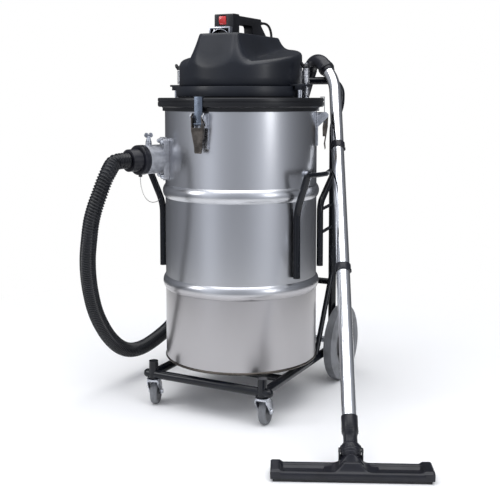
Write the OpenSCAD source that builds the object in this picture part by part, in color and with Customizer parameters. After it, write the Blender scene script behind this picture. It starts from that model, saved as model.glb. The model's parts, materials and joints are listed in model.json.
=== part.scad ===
// Shop vacuum: steel drum, clamped power head, tube trolley, hose, wand and floor tool.
// Millimetres, +Z up. The drum axis is the Z axis, the floor is z = 0, the front faces -Y.

/* [Drum] */
// Outer radius of the drum wall
drum_r = 229; // [200:260]
// Thickness of the drum sheet
drum_wall = 1.6; // [1:0.1:3]
// Height of the drum floor above the ground
drum_bottom = 139; // [130:160]
// Height of the drum rim
drum_top = 884; // [700:900]
// Outer radius of the two swage rings
swage_r = 237; // [232:242]
// Heights of the swage rings
swage_low = 364; // [300:420]
swage_high = 638; // [560:680]

/* [Lid] */
// Outer radius of the lid clamp ring
lid_r = 250; // [240:260]
// Top of the lid clamp ring
lid_top = 915; // [900:930]
// Height of the deep outer channel of the ring
lid_channel = 27; // [20:35]

/* [Power head] */
// Radius of the head base skirt
base_r = 194; // [185:205]
// Radius of the motor cover
cover_r = 184; // [175:195]
// Height where the motor cover starts
cover_bottom = 948; // [940:970]
// Height of the cover's rim at the front
cover_top = 1012; // [1000:1035]
// How much the rim rises towards the back
rim_rise = 60; // [40:70]
// Height of the raised deck
deck_top = 1100; // [1080:1120]
// Top of the carrying handle and switch box
handle_top = 1157; // [1140:1180]

/* [Trolley] */
// Outer radius of the main trolley tube
tube_r = 12.5; // [10:16]
// Wall of the trolley tube
tube_wall = 1.6; // [1:0.1:3]
// Height of the base frame
frame_z = 98; // [90:110]
// Half distance between the side rails
rail_x = 184; // [170:200]
// Position of the front crossbar behind (negative = in front of) the drum axis
front_y = -214; // [-230:-200]
// Position of the uprights
upright_y = 288; // [270:300]
// Position of the top handle bar
handle_y = 352.5; // [330:370]
// Height of the top handle bar
handle_z = 971; // [950:1000]

/* [Wheels] */
// Radius of the rear wheels
wheel_r = 120; // [100:130]
// Width of the rear wheels
wheel_w = 36; // [30:50]
// Radius of the castor wheels
castor_r = 37.5; // [30:50]
// Width of the castor wheels
castor_w = 22; // [18:28]
// Half distance between the castor stems
castor_x = 180.5; // [170:190]
// Distance of the castor wheel behind its stem
castor_trail = 26; // [15:40]
// Resting turn of the left and right castors about their stems
castor_turn_left = 19; // [-180:180]
castor_turn_right = 6; // [-180:180]

/* [Suction line] */
// Height of the inlet centre
inlet_z = 735; // [700:770]
// Direction round the drum where the inlet is mounted
inlet_at = -50; // [-70:-30]
// Direction in which the inlet spigot points
inlet_aim = -18; // [-30:0]
// Outer radius of the inlet spigot
spigot_r = 42.5; // [38:45]
// Outer radius of the hose
hose_r = 23.5; // [20:26]
// Outer radius of the wand tube
wand_r = 19; // [16:22]

/* [Mains lead] */
// Radius of the mains lead
lead_r = 4; // [3:5]
// Radius of the middle of the coiled lead
coil_r = 72; // [60:80]

/* [Hidden] */
$fa = 4;
$fs = 0.4;

// Clearance between parts that only lie together
gap = 0.3;
// Seam between solids that are joined together
braze = 0.05;

black = [0.07, 0.07, 0.08];
steel = [0.62, 0.63, 0.66];
zinc = [0.72, 0.74, 0.78];
grey = [0.5, 0.5, 0.52];

// ---- helpers ----

// Points of an arc about c, from angle a0 to angle a1
function arc(c, r, a0, a1, steps = 6) =
  [for (i = [0 : steps]) c + r * [cos(a0 + (a1 - a0) * i / steps), sin(a0 + (a1 - a0) * i / steps)]];

// Point at radius r, direction at (0 = front, positive = to the right) and height z
function round_at(r, at, z) = [r * sin(at), -r * cos(at), z];

// Straight round bar from p to q
module bar(p, q, r) {
  d = q - p;
  translate(p) rotate([0, acos(d[2] / norm(d)), atan2(d[1], d[0])]) cylinder(r = r, h = norm(d));
}

// Upright ring between two radii and two heights
module hoop(r_in, r_out, z0, z1) {
  rotate_extrude() translate([r_in, z0]) square([r_out - r_in, z1 - z0]);
}

module annulus(r, r_in) {
  difference() {
    circle(r = r);
    circle(r = r_in);
  }
}

// Bent tube that starts along +Z. Each step is [straight length, bend radius, bend angle, roll].
// Straights and bends are parted by seam, where they are brazed together
module bent_tube(steps, r, r_in, seam = 0, i = 0) {
  if (i < len(steps)) {
    s = steps[i];
    rotate([0, 0, s[3]]) {
      if (s[0] > 0) translate([0, 0, seam]) linear_extrude(s[0] - 2 * seam) annulus(r, r_in);
      translate([0, 0, s[0]]) {
        translate([s[1], 0, 0]) rotate([90, 0, 180])
          rotate_extrude(angle = s[2]) translate([s[1], 0]) annulus(r, r_in);
        translate([s[1] * (1 - cos(s[2])), 0, s[1] * sin(s[2])])
          rotate([0, s[2], 0]) bent_tube(steps, r, r_in, seam, i + 1);
      }
    }
  }
}

// Extrude a (y, z) outline symmetrically along X, about x
module along_x(width, x = 0) {
  translate([x - width / 2, 0, 0]) rotate([90, 0, 90]) linear_extrude(width) children();
}

// Extrude an (x, z) outline along Y from y0 towards the back
module along_y(y0, depth) {
  translate([0, y0 + depth, 0]) rotate([90, 0, 0]) linear_extrude(depth) children();
}

function unit(v) = v / norm(v);

// Direction of a route at its point i
function heading(p, i) = unit(p[min(i + 1, len(p) - 1)] - p[max(i - 1, 0)]);

// Closed tube along a route, with one ring of points at each route point
module route_tube(p, r, sides) {
  rings = [for (i = [0 : len(p) - 1])
    let (t = heading(p, i), a = unit(cross(t, [1, 0, 0])), b = cross(t, a))
      for (k = [0 : sides - 1]) p[i] + r * (cos(360 * k / sides) * a + sin(360 * k / sides) * b)];
  last = (len(p) - 1) * sides;
  walls = [for (i = [0 : len(p) - 2]) for (k = [0 : sides - 1])
    [i * sides + k, i * sides + (k + 1) % sides, (i + 1) * sides + (k + 1) % sides, (i + 1) * sides + k]];
  first_cap = [for (k = [sides - 1 : -1 : 0]) k];
  last_cap = [for (k = [0 : sides - 1]) last + k];
  polyhedron(points = rings, faces = concat([first_cap, last_cap], walls));
}

// ---- drum ----

swage_bend = 29;

// Half section of the drum, drawn in by t
module drum_outline(t) {
  translate([0, drum_bottom + t]) square([drum_r - t, drum_top - drum_bottom]);
  for (z = [swage_low, swage_high])
    translate([swage_r - swage_bend, z]) circle(r = swage_bend - t);
}

// Places children with -Y along the spigot, at the drum wall
module at_inlet() {
  translate(round_at(drum_r, inlet_at, inlet_z)) rotate([0, 0, inlet_aim]) children();
}

// Round bar or bore along the spigot, from s0 to s1 outside the drum wall
module along_spigot(r, s0, s1) {
  at_inlet() translate([0, -s0, 0]) rotate([90, 0, 0]) cylinder(r = r, h = s1 - s0);
}

spigot_end = 85;
spigot_bore = 37.5;
saddle_out = 12;
saddle_half = 50;
lug_r = 11;
lug_x = 38;
lug_z = 51;
screw_s = 64;
screw_seat = 50;
screw_r = 4;

// The drum's own space, which parts on its wall are cut to
module drum_space() {
  cylinder(r = drum_r + gap, h = drum_top, $fn = 360);
}

module drum_shell() {
  color(steel) difference() {
    rotate_extrude() difference() {
      union() {
        intersection() {
          drum_outline(0);
          translate([0, drum_bottom]) square([swage_r + 1, drum_top - drum_bottom]);
        }
        translate([drum_r, drum_top - 3]) circle(r = 3);
      }
      drum_outline(drum_wall);
    }
    along_spigot(spigot_bore, -60, 40);
  }
}

module drum_bead() {
  color(steel) rotate_extrude() translate([drum_r - 1.6, drum_bottom - 4.1]) circle(r = 4);
}

boss_z = 690;
boss_at = 84;

// Pressed half-round seats for the drum's lifting rods
module drum_bosses() {
  color(zinc) for (side = [-1, 1])
    rotate([0, 0, side * boss_at]) difference() {
      translate([0, -drum_r - 9, boss_z]) rotate([-90, 0, 0]) cylinder(r = 15, h = 14);
      drum_space();
    }
}

module inlet_casting() {
  color(grey) difference() {
    union() {
      rotate([0, 0, inlet_at]) {
        translate([-saddle_half, -drum_r - saddle_out, inlet_z - saddle_half])
          cube([2 * saddle_half, saddle_out + 10, 2 * saddle_half]);
        for (x = [-lug_x, lug_x], z = [-lug_z, lug_z])
          translate([x, -drum_r - saddle_out, inlet_z + z]) rotate([-90, 0, 0])
            cylinder(r = lug_r, h = saddle_out + 10);
      }
      along_spigot(spigot_r, -40, spigot_end);
      at_inlet() translate([0, -screw_s, 0]) cylinder(r1 = 11, r2 = 9, h = screw_seat);
    }
    drum_space();
    along_spigot(spigot_bore, -80, spigot_end + 10);
    at_inlet() translate([0, -screw_s, 0]) cylinder(r = screw_r + 0.08, h = 80);
  }
}

// Dome nuts of the casting and the brass washer under the wing screw
module inlet_fittings() {
  color(zinc) rotate([0, 0, inlet_at])
    for (x = [-lug_x, lug_x], z = [-lug_z, lug_z])
      translate([x, -drum_r - saddle_out, inlet_z + z]) rotate([90, 0, 0]) {
        cylinder(r = 7.6, h = 2);
        translate([0, 0, 2]) cylinder(r = 6.4, h = 5);
        intersection() {
          translate([0, 0, 3]) sphere(r = 7);
          translate([0, 0, 7]) cylinder(r = 6, h = 4);
        }
      }
  color([0.75, 0.55, 0.3]) at_inlet() translate([0, -screw_s, 0])
    hoop(screw_r + 0.3, 8.5, screw_seat, screw_seat + 4);
}

module inlet_wing_screw() {
  color(zinc) at_inlet() translate([0, -screw_s, 0]) {
    translate([0, 0, 38.5]) cylinder(r = screw_r, h = 30);
    translate([0, 0, screw_seat + 4.3]) cylinder(r1 = 7.5, r2 = 5, h = 13);
    for (side = [-1, 1])
      along_x(3) translate([side * 8, screw_seat + 21]) circle(r = 7);
  }
}

// ---- lid ----

module lid_ring() {
  color(black) rotate_extrude() {
    translate([150, lid_top - 12]) square([lid_r - 150 - 4, 12]);
    translate([lid_r - 7, lid_top - lid_channel]) square([7, lid_channel - 4]);
    translate([lid_r - 4, lid_top - 4]) circle(r = 4);
    translate([232.5, drum_top - 8]) square([3.5, lid_top - drum_top + 4]);
    translate([222, drum_top + 6.2]) square([10, 20]);
  }
}

// Seal between drum and ring, and seal between ring and head
module gaskets() {
  color([0.13, 0.13, 0.13]) {
    hoop(222, 232, drum_top + 0.1, drum_top + 6.1);
    hoop(160, 188, lid_top + 0.1, lid_top + 2.9);
  }
}

module filter_ring() {
  color(grey) hoop(174, 221, lid_top - 18.1, lid_top - 12.1);
}

module filter_bag() {
  color([0.8, 0.78, 0.72]) rotate_extrude() difference() {
    polygon([[0, 640], [150, 640], [173.5, 680], [173.5, lid_top - 12.2], [0, lid_top - 12.2]]);
    polygon([[0, 643], [148, 643], [170.5, 681], [170.5, lid_top], [0, lid_top]]);
  }
}

// ---- latches ----

latch_pin = [257, 862];
strap_pin = [254.5, 842];
strap_w = 26;
strap_t = 1.8;
latch_right_at = 112;
latch_left_at = -120;
latch_pin_r = 2.5;
latch_low = 772;
latch_high = 872;
ear_low = 828;
ear_in = 18.4;
ear_out = 21;
pin_in = 14.6;
base_face = drum_r + 3.5;

// Extrude an outline drawn as (distance from the drum axis, height) to a width across the latch
module across_latch(width, x = 0) {
  translate([x + width / 2, 0, 0]) rotate([90, 0, -90]) linear_extrude(width) children();
}

// Round pin or hole across the latch
module latch_bar(at, r, width) {
  across_latch(width) translate(at) circle(r = r);
}

module latch_base(at) {
  color(zinc) rotate([0, 0, at]) {
    difference() {
      translate([-ear_out, -base_face, latch_low])
        cube([2 * ear_out, base_face - drum_r + 9.5, latch_high - latch_low]);
      drum_space();
    }
    for (side = [-1, 1]) {
      across_latch(ear_out - ear_in, side * (ear_out + ear_in) / 2) polygon(concat(
        [[base_face + braze, ear_low], [base_face + braze, latch_high], [latch_pin[0], latch_high]],
        arc(latch_pin, 7, 70, -60), [[latch_pin[0] - 6, 846]]));
      across_latch(ear_out - pin_in, side * (ear_out + pin_in) / 2)
        translate(latch_pin) circle(r = latch_pin_r);
    }
  }
}

module latch_lever(at) {
  color([0.16, 0.15, 0.14]) rotate([0, 0, at]) difference() {
    intersection() {
      union() {
        for (side = [-1, 1]) across_latch(2.4, side * 16.6) polygon(concat(
          arc(latch_pin, 6.5, 150, -10), [[262, 835], [254, 790], [247, 790], [246, 826]]));
        across_latch(35.6) polygon([[258.6, 832], [262.6, 832], [254.5, 780], [256, 764], [253, 760],
          [250, 778]]);
      }
      along_y(-270, 40) polygon([[-18, 870], [18, 870], [18, 822], [10.5, 758], [-10.5, 758], [-18, 822]]);
    }
    latch_bar(latch_pin, latch_pin_r + 0.07, 50);
    latch_bar(strap_pin, latch_pin_r + 0.07, 50);
  }
}

module latch_strap(at) {
  r_in = lid_r + 0.6;
  color(zinc) rotate([0, 0, at]) {
    across_latch(strap_w) polygon([[r_in + strap_t, strap_pin[1]], [r_in + strap_t, lid_top + 3.2],
      [lid_r - 11, lid_top + 3.2], [lid_r - 11, lid_top + 0.8], [r_in, lid_top + 0.8],
      [r_in, strap_pin[1]]]);
    latch_bar(strap_pin, 4.2, strap_w);
    latch_bar(strap_pin, latch_pin_r, 35.4);
  }
}

module latch_base_front() { latch_base(0); }
module latch_lever_front() { latch_lever(0); }
module latch_strap_front() { latch_strap(0); }
module latch_base_right() { latch_base(latch_right_at); }
module latch_lever_right() { latch_lever(latch_right_at); }
module latch_strap_right() { latch_strap(latch_right_at); }
module latch_base_left() { latch_base(latch_left_at); }
module latch_lever_left() { latch_lever(latch_left_at); }
module latch_strap_left() { latch_strap(latch_left_at); }

// ---- power head ----

base_bottom = lid_top + 3;
shell = 3;

module head_base() {
  color(black) rotate_extrude() {
    translate([150, base_bottom]) square([base_r - 150, shell]);
    translate([base_r - shell, base_bottom]) square([shell, cover_bottom - base_bottom]);
    translate([cover_r - 6, cover_bottom - shell]) square([base_r - cover_r + 6, shell]);
  }
}

motor_y = 68;

module motor_plate() {
  color(grey) difference() {
    translate([0, 0, base_bottom + shell + 0.1]) cylinder(r = base_r - shell - 1, h = 4);
    for (side = [-1, 1]) translate([0, side * motor_y, base_bottom]) cylinder(r = 25, h = 20);
  }
}

module motors() {
  color(steel) for (side = [-1, 1]) translate([0, side * motor_y, base_bottom + shell + 4.2]) {
    difference() {
      cylinder(r = 62, h = 34);
      translate([0, 0, -1]) cylinder(r = 24, h = 20);
    }
    translate([0, 0, 34]) cylinder(r = 46, h = 48);
  }
}

deck_half = 64;
deck_flare = 22;
deck_round = 14;
deck_wall = 5;
deck_front_y = -130;
front_flare = 27;
deck_back_y = 138;

// Side view of the cover under its sloping rim, drawn in by t, as (y, z)
module cover_side(t) {
  polygon([[-cover_r, cover_bottom + 0.1 - t], [cover_r, cover_bottom + 0.1 - t],
    [cover_r, cover_top + rim_rise - t], [-cover_r, cover_top - t]]);
}

// Side view of the raised deck, as (y, z)
module deck_side() {
  polygon(concat(
    [[-cover_r, cover_top - 14]],
    arc([-cover_r, cover_top + front_flare], front_flare, -90, 0),
    arc([deck_front_y, deck_top - deck_round], deck_round, 160, 90),
    arc([deck_back_y, deck_top - deck_round], deck_round, 90, 40),
    [[cover_r - 20, cover_top + rim_rise], [cover_r - 20, cover_top - 14]]));
}

// Front view of the raised deck, as (x, z)
module deck_front() {
  foot = deck_half + deck_flare;
  right = concat(
    [[foot, cover_top - 14]],
    arc([foot, cover_top + deck_flare], deck_flare, -90, -180),
    arc([deck_half - deck_round, deck_top - deck_round], deck_round, 0, 90));
  polygon(concat(right, [for (i = [len(right) - 1 : -1 : 0]) [-right[i][0], right[i][1]]]));
}

module motor_cover() {
  color(black) difference() {
    intersection() {
      translate([0, 0, cover_bottom]) cylinder(r = cover_r, h = deck_top - cover_bottom);
      union() {
        along_x(2 * cover_r) cover_side(0);
        intersection() {
          along_x(2 * cover_r) deck_side();
          along_y(-cover_r, 2 * cover_r) deck_front();
        }
      }
    }
    intersection() {
      translate([0, 0, cover_bottom - shell]) cylinder(r = cover_r - shell, h = deck_top - cover_bottom);
      along_x(2 * cover_r) cover_side(shell);
    }
    translate([-deck_half + deck_wall, deck_front_y, cover_top - 10]) cube([
      2 * (deck_half - deck_wall), deck_back_y - deck_front_y - 6, deck_top - deck_wall - cover_top + 10]);
  }
}

box_front = -105;
box_back = -68;
box_half = 31;
grip_half = 15;
grip_under = 1132;
leg_front = 44;
leg_back = 106;
gland_z = 1147;
rocker_at = [-4, -99, 1139];
rocker_half = 11;

module carry_handle() {
  color(black) difference() {
    union() {
      along_x(2 * box_half) polygon(concat(
        [[box_back, deck_top + 0.1], [box_front, deck_top + 0.1]],
        arc([box_front + 5, handle_top - 5], 5, 180, 90),
        arc([box_back - 4, handle_top - 4], 4, 90, 0)));
      along_x(2 * grip_half) polygon(concat(
        [[box_back - 1, grip_under], [box_back - 1, handle_top - 1]],
        arc([leg_back - 6, handle_top - 7], 6, 90, 0),
        [[leg_back, gland_z - 11], [leg_back + 42, deck_top + 0.1], [leg_front + 6, deck_top + 0.1]],
        arc([leg_front - 6, grip_under - 10], 10, 0, 90)));
    }
    translate(rocker_at - [rocker_half + 1, 10, 13.8])
      cube([2 * rocker_half + 2, 16, 27.6]);
    translate(rocker_at - [rocker_half + 4, 0, 0]) rotate([0, 90, 0])
      cylinder(r = 2.06, h = 2 * rocker_half + 8);
  }
  color(black) {
    translate([0, leg_back, gland_z]) rotate([-90, 0, 0]) cylinder(r = 9, h = 4);
    translate([0, leg_back + 4, gland_z]) rotate([-90, 0, 0]) cylinder(r1 = 7.5, r2 = 4.6, h = 30);
  }
}

module rocker() {
  color([0.8, 0.08, 0.06]) translate(rocker_at) rotate([7, 0, 0]) {
    along_x(2 * rocker_half) polygon([[4, -11], [4, 11], [-6.5, 12], [-9, 0], [-6.5, -12]]);
    along_x(2 * rocker_half + 6) circle(r = 2);
  }
}

bracket_half = 34;

// Steel bar and arched strip in front of the switch box
module front_bracket() {
  color(zinc) translate([rocker_at[0], 0, 0]) {
    translate([-bracket_half, box_front - 20, deck_top + 14]) cube([2 * bracket_half, 19.9, 5]);
    for (side = [-1, 1])
      translate([side * (bracket_half - 2) - 2, box_front - 20, deck_top + 0.2]) cube([4, 19.9, 14]);
    intersection() {
      along_y(box_front - 18, 16) difference() {
        translate([0, deck_top - 22]) circle(r = 35);
        translate([0, deck_top - 22]) circle(r = 33);
      }
      translate([-bracket_half + 4.5, box_front - 30, deck_top + 0.2])
        cube([2 * bracket_half - 9, 40, 13.6]);
    }
  }
}

stud_x = 214;
stud_top = 1000;
lug_t = 6;
lug_top = cover_bottom + gap + lug_t;
lug_in = 180;
lug_out = 226;
lug_front = -42;
lug_foot = 22;
post_h = 22;

module stud_springs() {
  color(zinc) for (side = [-1, 1]) translate([side * stud_x, 0, 0]) rotate_extrude() {
    for (z = [lid_top + 3.3 : 3.2 : lug_top - 9]) translate([9, z]) circle(r = 1.2);
    for (z = [lug_top + 1.4 : 3.2 : stud_top - 1]) translate([9, z]) circle(r = 1.2);
    translate([8.6, lid_top + 3.3]) square([0.7, lug_top - 9.3 - lid_top - 3.3]);
    translate([8.6, lug_top + 1.4]) square([0.7, stud_top - 2.6 - lug_top]);
  }
}

module stud_rods() {
  color(steel) for (side = [-1, 1]) translate([side * stud_x, 0, lid_top + 0.1]) {
    cylinder(r = 4, h = stud_top - lid_top + 16);
    cylinder(r = 8, h = 1.8);
    for (y = [-36, -24]) translate([-side * 6, y, 0]) cylinder(r = 4, h = post_h);
  }
}

// Knob seen from above has two wings; it screws down its stud
module stud_knob(side) {
  color(black) translate([side * stud_x, 0, stud_top + 0.4]) difference() {
    union() {
      cylinder(r1 = 11, r2 = 8, h = 10);
      for (wing = [-1, 1]) along_y(-3.5, 7) translate([wing * 11, 12]) circle(r = 6.5);
      translate([-11, -3.5, 6]) cube([22, 7, 9]);
    }
    translate([0, 0, -1]) cylinder(r = 4.07, h = 18.5);
  }
}

module stud_knob_right() { stud_knob(1); }
module stud_knob_left() { stud_knob(-1); }

module stud_lugs() {
  color(black) for (side = [-1, 1]) difference() {
    union() {
      translate([side > 0 ? lug_in : -lug_out, lug_front, cover_bottom + gap])
        cube([lug_out - lug_in, 56, lug_t]);
      translate([side * (stud_x - 6) - lug_foot / 2, lug_front, lid_top + post_h + gap])
        cube([lug_foot, 24, cover_bottom - lid_top - post_h + 2]);
    }
    translate([side * stud_x, 0, lug_top - 10]) cylinder(r = 5, h = 20);
    cylinder(r = cover_r + gap, h = 2 * lug_top);
  }
}

// ---- trolley ----

socket_r = 13.5;
socket_bottom = 86;
socket_top = 138;
stem_r = 6;
axle_z = wheel_r;
axle_r = 10;
corner_r = 46;
lean = 45;
lean_r = 60;
lean_run = (handle_y - upright_y - 2 * lean_r * (1 - cos(lean))) / sin(lean);
corner_run = 8;
upright_top = handle_z - corner_r - corner_run - 2 * lean_r * sin(lean) - lean_run * cos(lean);

bar_end = 20;

// Crossbar in three lengths between the castor sockets and past them
module front_frame() {
  half = castor_x + bar_end;
  color(black) {
    difference() {
      union() {
        bar([-half, front_y, frame_z], [half, front_y, frame_z], tube_r);
        for (side = [-1, 1]) translate([side * half, front_y, frame_z]) intersection() {
          sphere(r = tube_r);
          translate([side > 0 ? 0 : -tube_r, -tube_r, -tube_r]) cube([tube_r, 2 * tube_r, 2 * tube_r]);
        }
      }
      for (side = [-1, 1]) translate([side * castor_x, front_y, socket_bottom - 1])
        cylinder(r = socket_r + braze, h = socket_top);
    }
    for (side = [-1, 1]) translate([side * castor_x, front_y, socket_bottom]) difference() {
      cylinder(r = socket_r, h = socket_top - socket_bottom);
      translate([0, 0, -1]) cylinder(r = stem_r + 0.08, h = socket_top - socket_bottom - 5);
    }
  }
}

// Everything that stands where the side rails meet other tubes, cut out of them
module rail_meets() {
  bar([-castor_x - 40, front_y, frame_z], [castor_x + 40, front_y, frame_z], tube_r + braze);
  for (side = [-1, 1]) translate([side * castor_x, front_y, 0])
    cylinder(r = socket_r + braze, h = 2 * socket_top);
  for (side = [-1, 1]) translate([side * rail_x, upright_y, 0])
    cylinder(r = tube_r + braze, h = 2 * socket_top);
}

module frame_rails() {
  color(black) difference() {
    for (side = [-1, 1]) difference() {
      bar([side * rail_x, front_y, frame_z], [side * rail_x, upright_y, frame_z], tube_r);
      bar([side * rail_x, front_y, frame_z], [side * rail_x, upright_y, frame_z], tube_r - tube_wall);
    }
    rail_meets();
  }
}

module axle_hole() {
  bar([-rail_x - 20, upright_y, axle_z], [rail_x + 20, upright_y, axle_z], axle_r + 0.1);
}

module frame_uprights() {
  color(black) for (side = [-1, 1]) difference() {
    translate([side * rail_x, upright_y, frame_z - tube_r])
      cylinder(r = tube_r, h = upright_top - frame_z + tube_r - 0.1);
    translate([side * rail_x, upright_y, axle_z + 20])
      cylinder(r = tube_r - tube_wall, h = upright_top);
    axle_hole();
  }
}

handle_steps = [[0, lean_r, lean, 90], [lean_run, lean_r, lean, 180], [corner_run, corner_r, 90, -90],
  [2 * (rail_x - corner_r), corner_r, 90, 0], [corner_run, lean_r, lean, 90],
  [lean_run, lean_r, lean, 180]];

module frame_handle() {
  color(black) translate([rail_x, upright_y, upright_top])
    bent_tube(handle_steps, tube_r, tube_r - tube_wall, braze);
}

brace_r = 8;
brace_low_y = 152;
brace_high = 356;
cross_r = 10;
cross_z = 315;
cradle_y = 80;

module uprights_solid(r) {
  for (side = [-1, 1]) translate([side * rail_x, upright_y, frame_z - tube_r])
    cylinder(r = r, h = upright_top);
}

module rails_solid(r) {
  for (side = [-1, 1])
    bar([side * rail_x, front_y, frame_z], [side * rail_x, upright_y, frame_z], r);
}

// Diagonal braces, rear cross tube and the two cradle bars under the drum
module frame_braces() {
  color(black) difference() {
    union() {
      for (side = [-1, 1])
        bar([side * rail_x, brace_low_y, frame_z], [side * rail_x, upright_y, brace_high], brace_r);
      bar([-rail_x, upright_y, cross_z], [rail_x, upright_y, cross_z], cross_r);
      for (y = [-cradle_y, cradle_y]) bar([-rail_x, y, frame_z], [rail_x, y, frame_z], cross_r);
    }
    uprights_solid(tube_r + braze);
    rails_solid(tube_r + braze);
  }
}

module cradle_pads() {
  color([0.12, 0.12, 0.12]) difference() {
    for (x = [-120, 120], y = [-cradle_y, cradle_y]) translate([x, y, frame_z])
      cylinder(r = 15, h = drum_bottom - frame_z - 0.1);
    for (y = [-cradle_y, cradle_y]) bar([-rail_x, y, frame_z], [rail_x, y, frame_z], cross_r + braze);
  }
}

guide_r = 10;
hoop_r = 7;
guide_line = drum_r + 3 + guide_r;
hoop_line = 284;
hoop_z = 697;
hoop_from = 69;
hoop_to = 88;
guide_low = 400;
guide_knee = 592;
rear_guide_at = 120;
weld = 0.6;
hoop_ball_r = hoop_r + weld;
knee_ball_r = guide_r + weld;
hoop_end = [rail_x - 4, upright_y - 2, hoop_z - 14];

module for_both_sides() {
  children();
  mirror([1, 0, 0]) children();
}

// Arc of the hoop beside the drum, with a ball at each end
module hoop_arc() {
  translate([0, 0, hoop_z]) rotate([0, 0, hoop_from - 90])
    rotate_extrude(angle = hoop_to - hoop_from) translate([hoop_line, 0]) circle(r = hoop_r);
  for (at = [hoop_from, hoop_to]) translate(round_at(hoop_line, at, hoop_z)) sphere(r = hoop_ball_r);
}

// Hoop on each side: the arc and a straight run back to the upright
module guide_hoops() {
  color(black) for_both_sides() {
    hoop_arc();
    difference() {
      bar(round_at(hoop_line, hoop_to, hoop_z), hoop_end, hoop_r - weld);
      translate(round_at(hoop_line, hoop_to, hoop_z)) sphere(r = hoop_ball_r + braze);
      uprights_solid(tube_r + braze);
    }
  }
}

// Guide bar beside the drum: an upright run with a ball at its knee, and a slanted run from the
// ball to a point short of its support
module guide_bar(at, support, short) {
  knee = round_at(guide_line, at, guide_knee);
  slant = unit(support - knee);
  bar(round_at(guide_line, at, guide_low), knee, guide_r);
  translate(knee) sphere(r = knee_ball_r);
  bar(knee + (knee_ball_r + braze) * slant, support - short * slant, guide_r);
}

stay_r = 5;
stay_zs = [500, 572];

module guide_bars() {
  color(black) for_both_sides() difference() {
    union() {
      guide_bar(hoop_from, round_at(hoop_line, hoop_from, hoop_z), hoop_ball_r + braze);
      guide_bar(rear_guide_at, [rail_x, upright_y, hoop_z - 30], 0);
      difference() {
        for (z = stay_zs)
          bar(round_at(guide_line, rear_guide_at, z), [rail_x, upright_y, z], stay_r);
        bar(round_at(guide_line, rear_guide_at, guide_low),
          round_at(guide_line, rear_guide_at, guide_knee), guide_r + braze);
      }
    }
    uprights_solid(tube_r + braze);
  }
}

// ---- running gear ----

fork_z = 80;
fork_half = 15;
castor_axle_r = 4;

// Places children at a castor stem, turned to the castor's resting direction
module at_castor(side) {
  translate([side * castor_x, front_y, 0])
    rotate([0, 0, side > 0 ? castor_turn_right : castor_turn_left]) children();
}

module castor_fork(side) {
  color(zinc) at_castor(side) {
    translate([0, 0, fork_z]) cylinder(r = stem_r, h = socket_top - fork_z - 8);
    translate([0, 0, fork_z]) cylinder(r = 20, h = 4.5);
    translate([-fork_half - 2.5, -14, fork_z - 3.5]) cube([2 * fork_half + 5, 30, 3.6]);
    for (x = [-fork_half - 1.25, fork_half + 1.25]) along_x(2.5, x) polygon(concat(
      [[-14, fork_z], [-14, fork_z - 10]],
      arc([castor_trail, castor_r], 9, 215, 350), [[castor_trail - 2, fork_z - 14], [16, fork_z]]));
    translate([0, castor_trail, castor_r]) rotate([0, 90, 0])
      translate([0, 0, -fork_half - 6]) cylinder(r = castor_axle_r, h = 2 * fork_half + 12);
    for (x = [-fork_half - 6.5, fork_half + 2.5]) translate([x, castor_trail, castor_r])
      rotate([0, 90, 0]) cylinder(r = 7, h = 4, $fn = 6);
  }
}

// Wheel about the X axis: a rounded tyre and a hub as one body with a bored centre
module wheel_shape(r, w, hub_w, bore, edge) {
  rotate([0, 90, 0]) rotate_extrude() difference() {
    union() {
      translate([0, -w / 2 + edge]) square([r, w - 2 * edge]);
      translate([0, -w / 2]) square([r - edge, w]);
      for (z = [-w / 2 + edge, w / 2 - edge]) translate([r - edge, z]) circle(r = edge);
      translate([0, -hub_w / 2]) square([bore * 2, hub_w]);
    }
    translate([0, -hub_w]) square([bore, 2 * hub_w]);
    for (z = [w / 2 - 5, -w / 2 - 5]) translate([bore * 2 + 4, z]) square([r * 0.62 - bore * 2, 10]);
  }
}

module castor_wheel(side) {
  color(grey) at_castor(side) translate([0, castor_trail, castor_r])
    wheel_shape(castor_r, castor_w, 2 * fork_half - 1.2, castor_axle_r + 0.07, 5);
}

module castor_fork_right() { castor_fork(1); }
module castor_wheel_right() { castor_wheel(1); }
module castor_fork_left() { castor_fork(-1); }
module castor_wheel_left() { castor_wheel(-1); }

wheel_in = rail_x + tube_r + 2;
axle_end = wheel_in + wheel_w + 4;

module rear_axle() {
  color(steel) bar([-axle_end, upright_y, axle_z], [axle_end, upright_y, axle_z], axle_r);
}

module rear_wheel(side) {
  color(grey) translate([side * (wheel_in + wheel_w / 2), upright_y, axle_z])
    difference() {
      wheel_shape(wheel_r, wheel_w, wheel_w + 2, axle_r + 0.08, 9);
      for (x = [-8, 0, 8]) rotate([0, 90, 0]) rotate_extrude()
        translate([wheel_r - 2, x - 1.2]) square([4, 2.4]);
    }
  color(black) translate([side * (axle_end + 0.4), upright_y, axle_z]) rotate([0, side * 90, 0]) {
    cylinder(r1 = 24, r2 = 18, h = 6);
    translate([0, 0, -4.6]) difference() {
      cylinder(r = 24, h = 4.7);
      translate([0, 0, -1]) cylinder(r = axle_r + 1, h = 10);
    }
  }
}

module rear_wheel_right() { rear_wheel(1); }
module rear_wheel_left() { rear_wheel(-1); }

// ---- wand and floor tool ----

wand_foot = [499, -367, 75];
wand_rest = [178, 312, 971];
wand_dir = unit(wand_rest - wand_foot);
wand_tilt = acos(wand_dir[2]);
wand_turn = atan2(wand_dir[1], wand_dir[0]);
wand_wall = 1.2;
joint_low = 479;
joint_high = 902;
bend_start = 1120;
bend_r = 200;
bend_angle = 25;
elbow_r = 50;
elbow_angle = 104;
elbow_roll = -67;
cuff_r = 22.5;
cuff_bore = 17.5;
cuff_l = 105;
ring_l = 34;

// Places children on the wand's axis, s above its foot, with +Z up the wand
module on_wand(s) {
  translate(wand_foot) rotate([0, wand_tilt, wand_turn]) translate([0, 0, s]) children();
}

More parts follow.
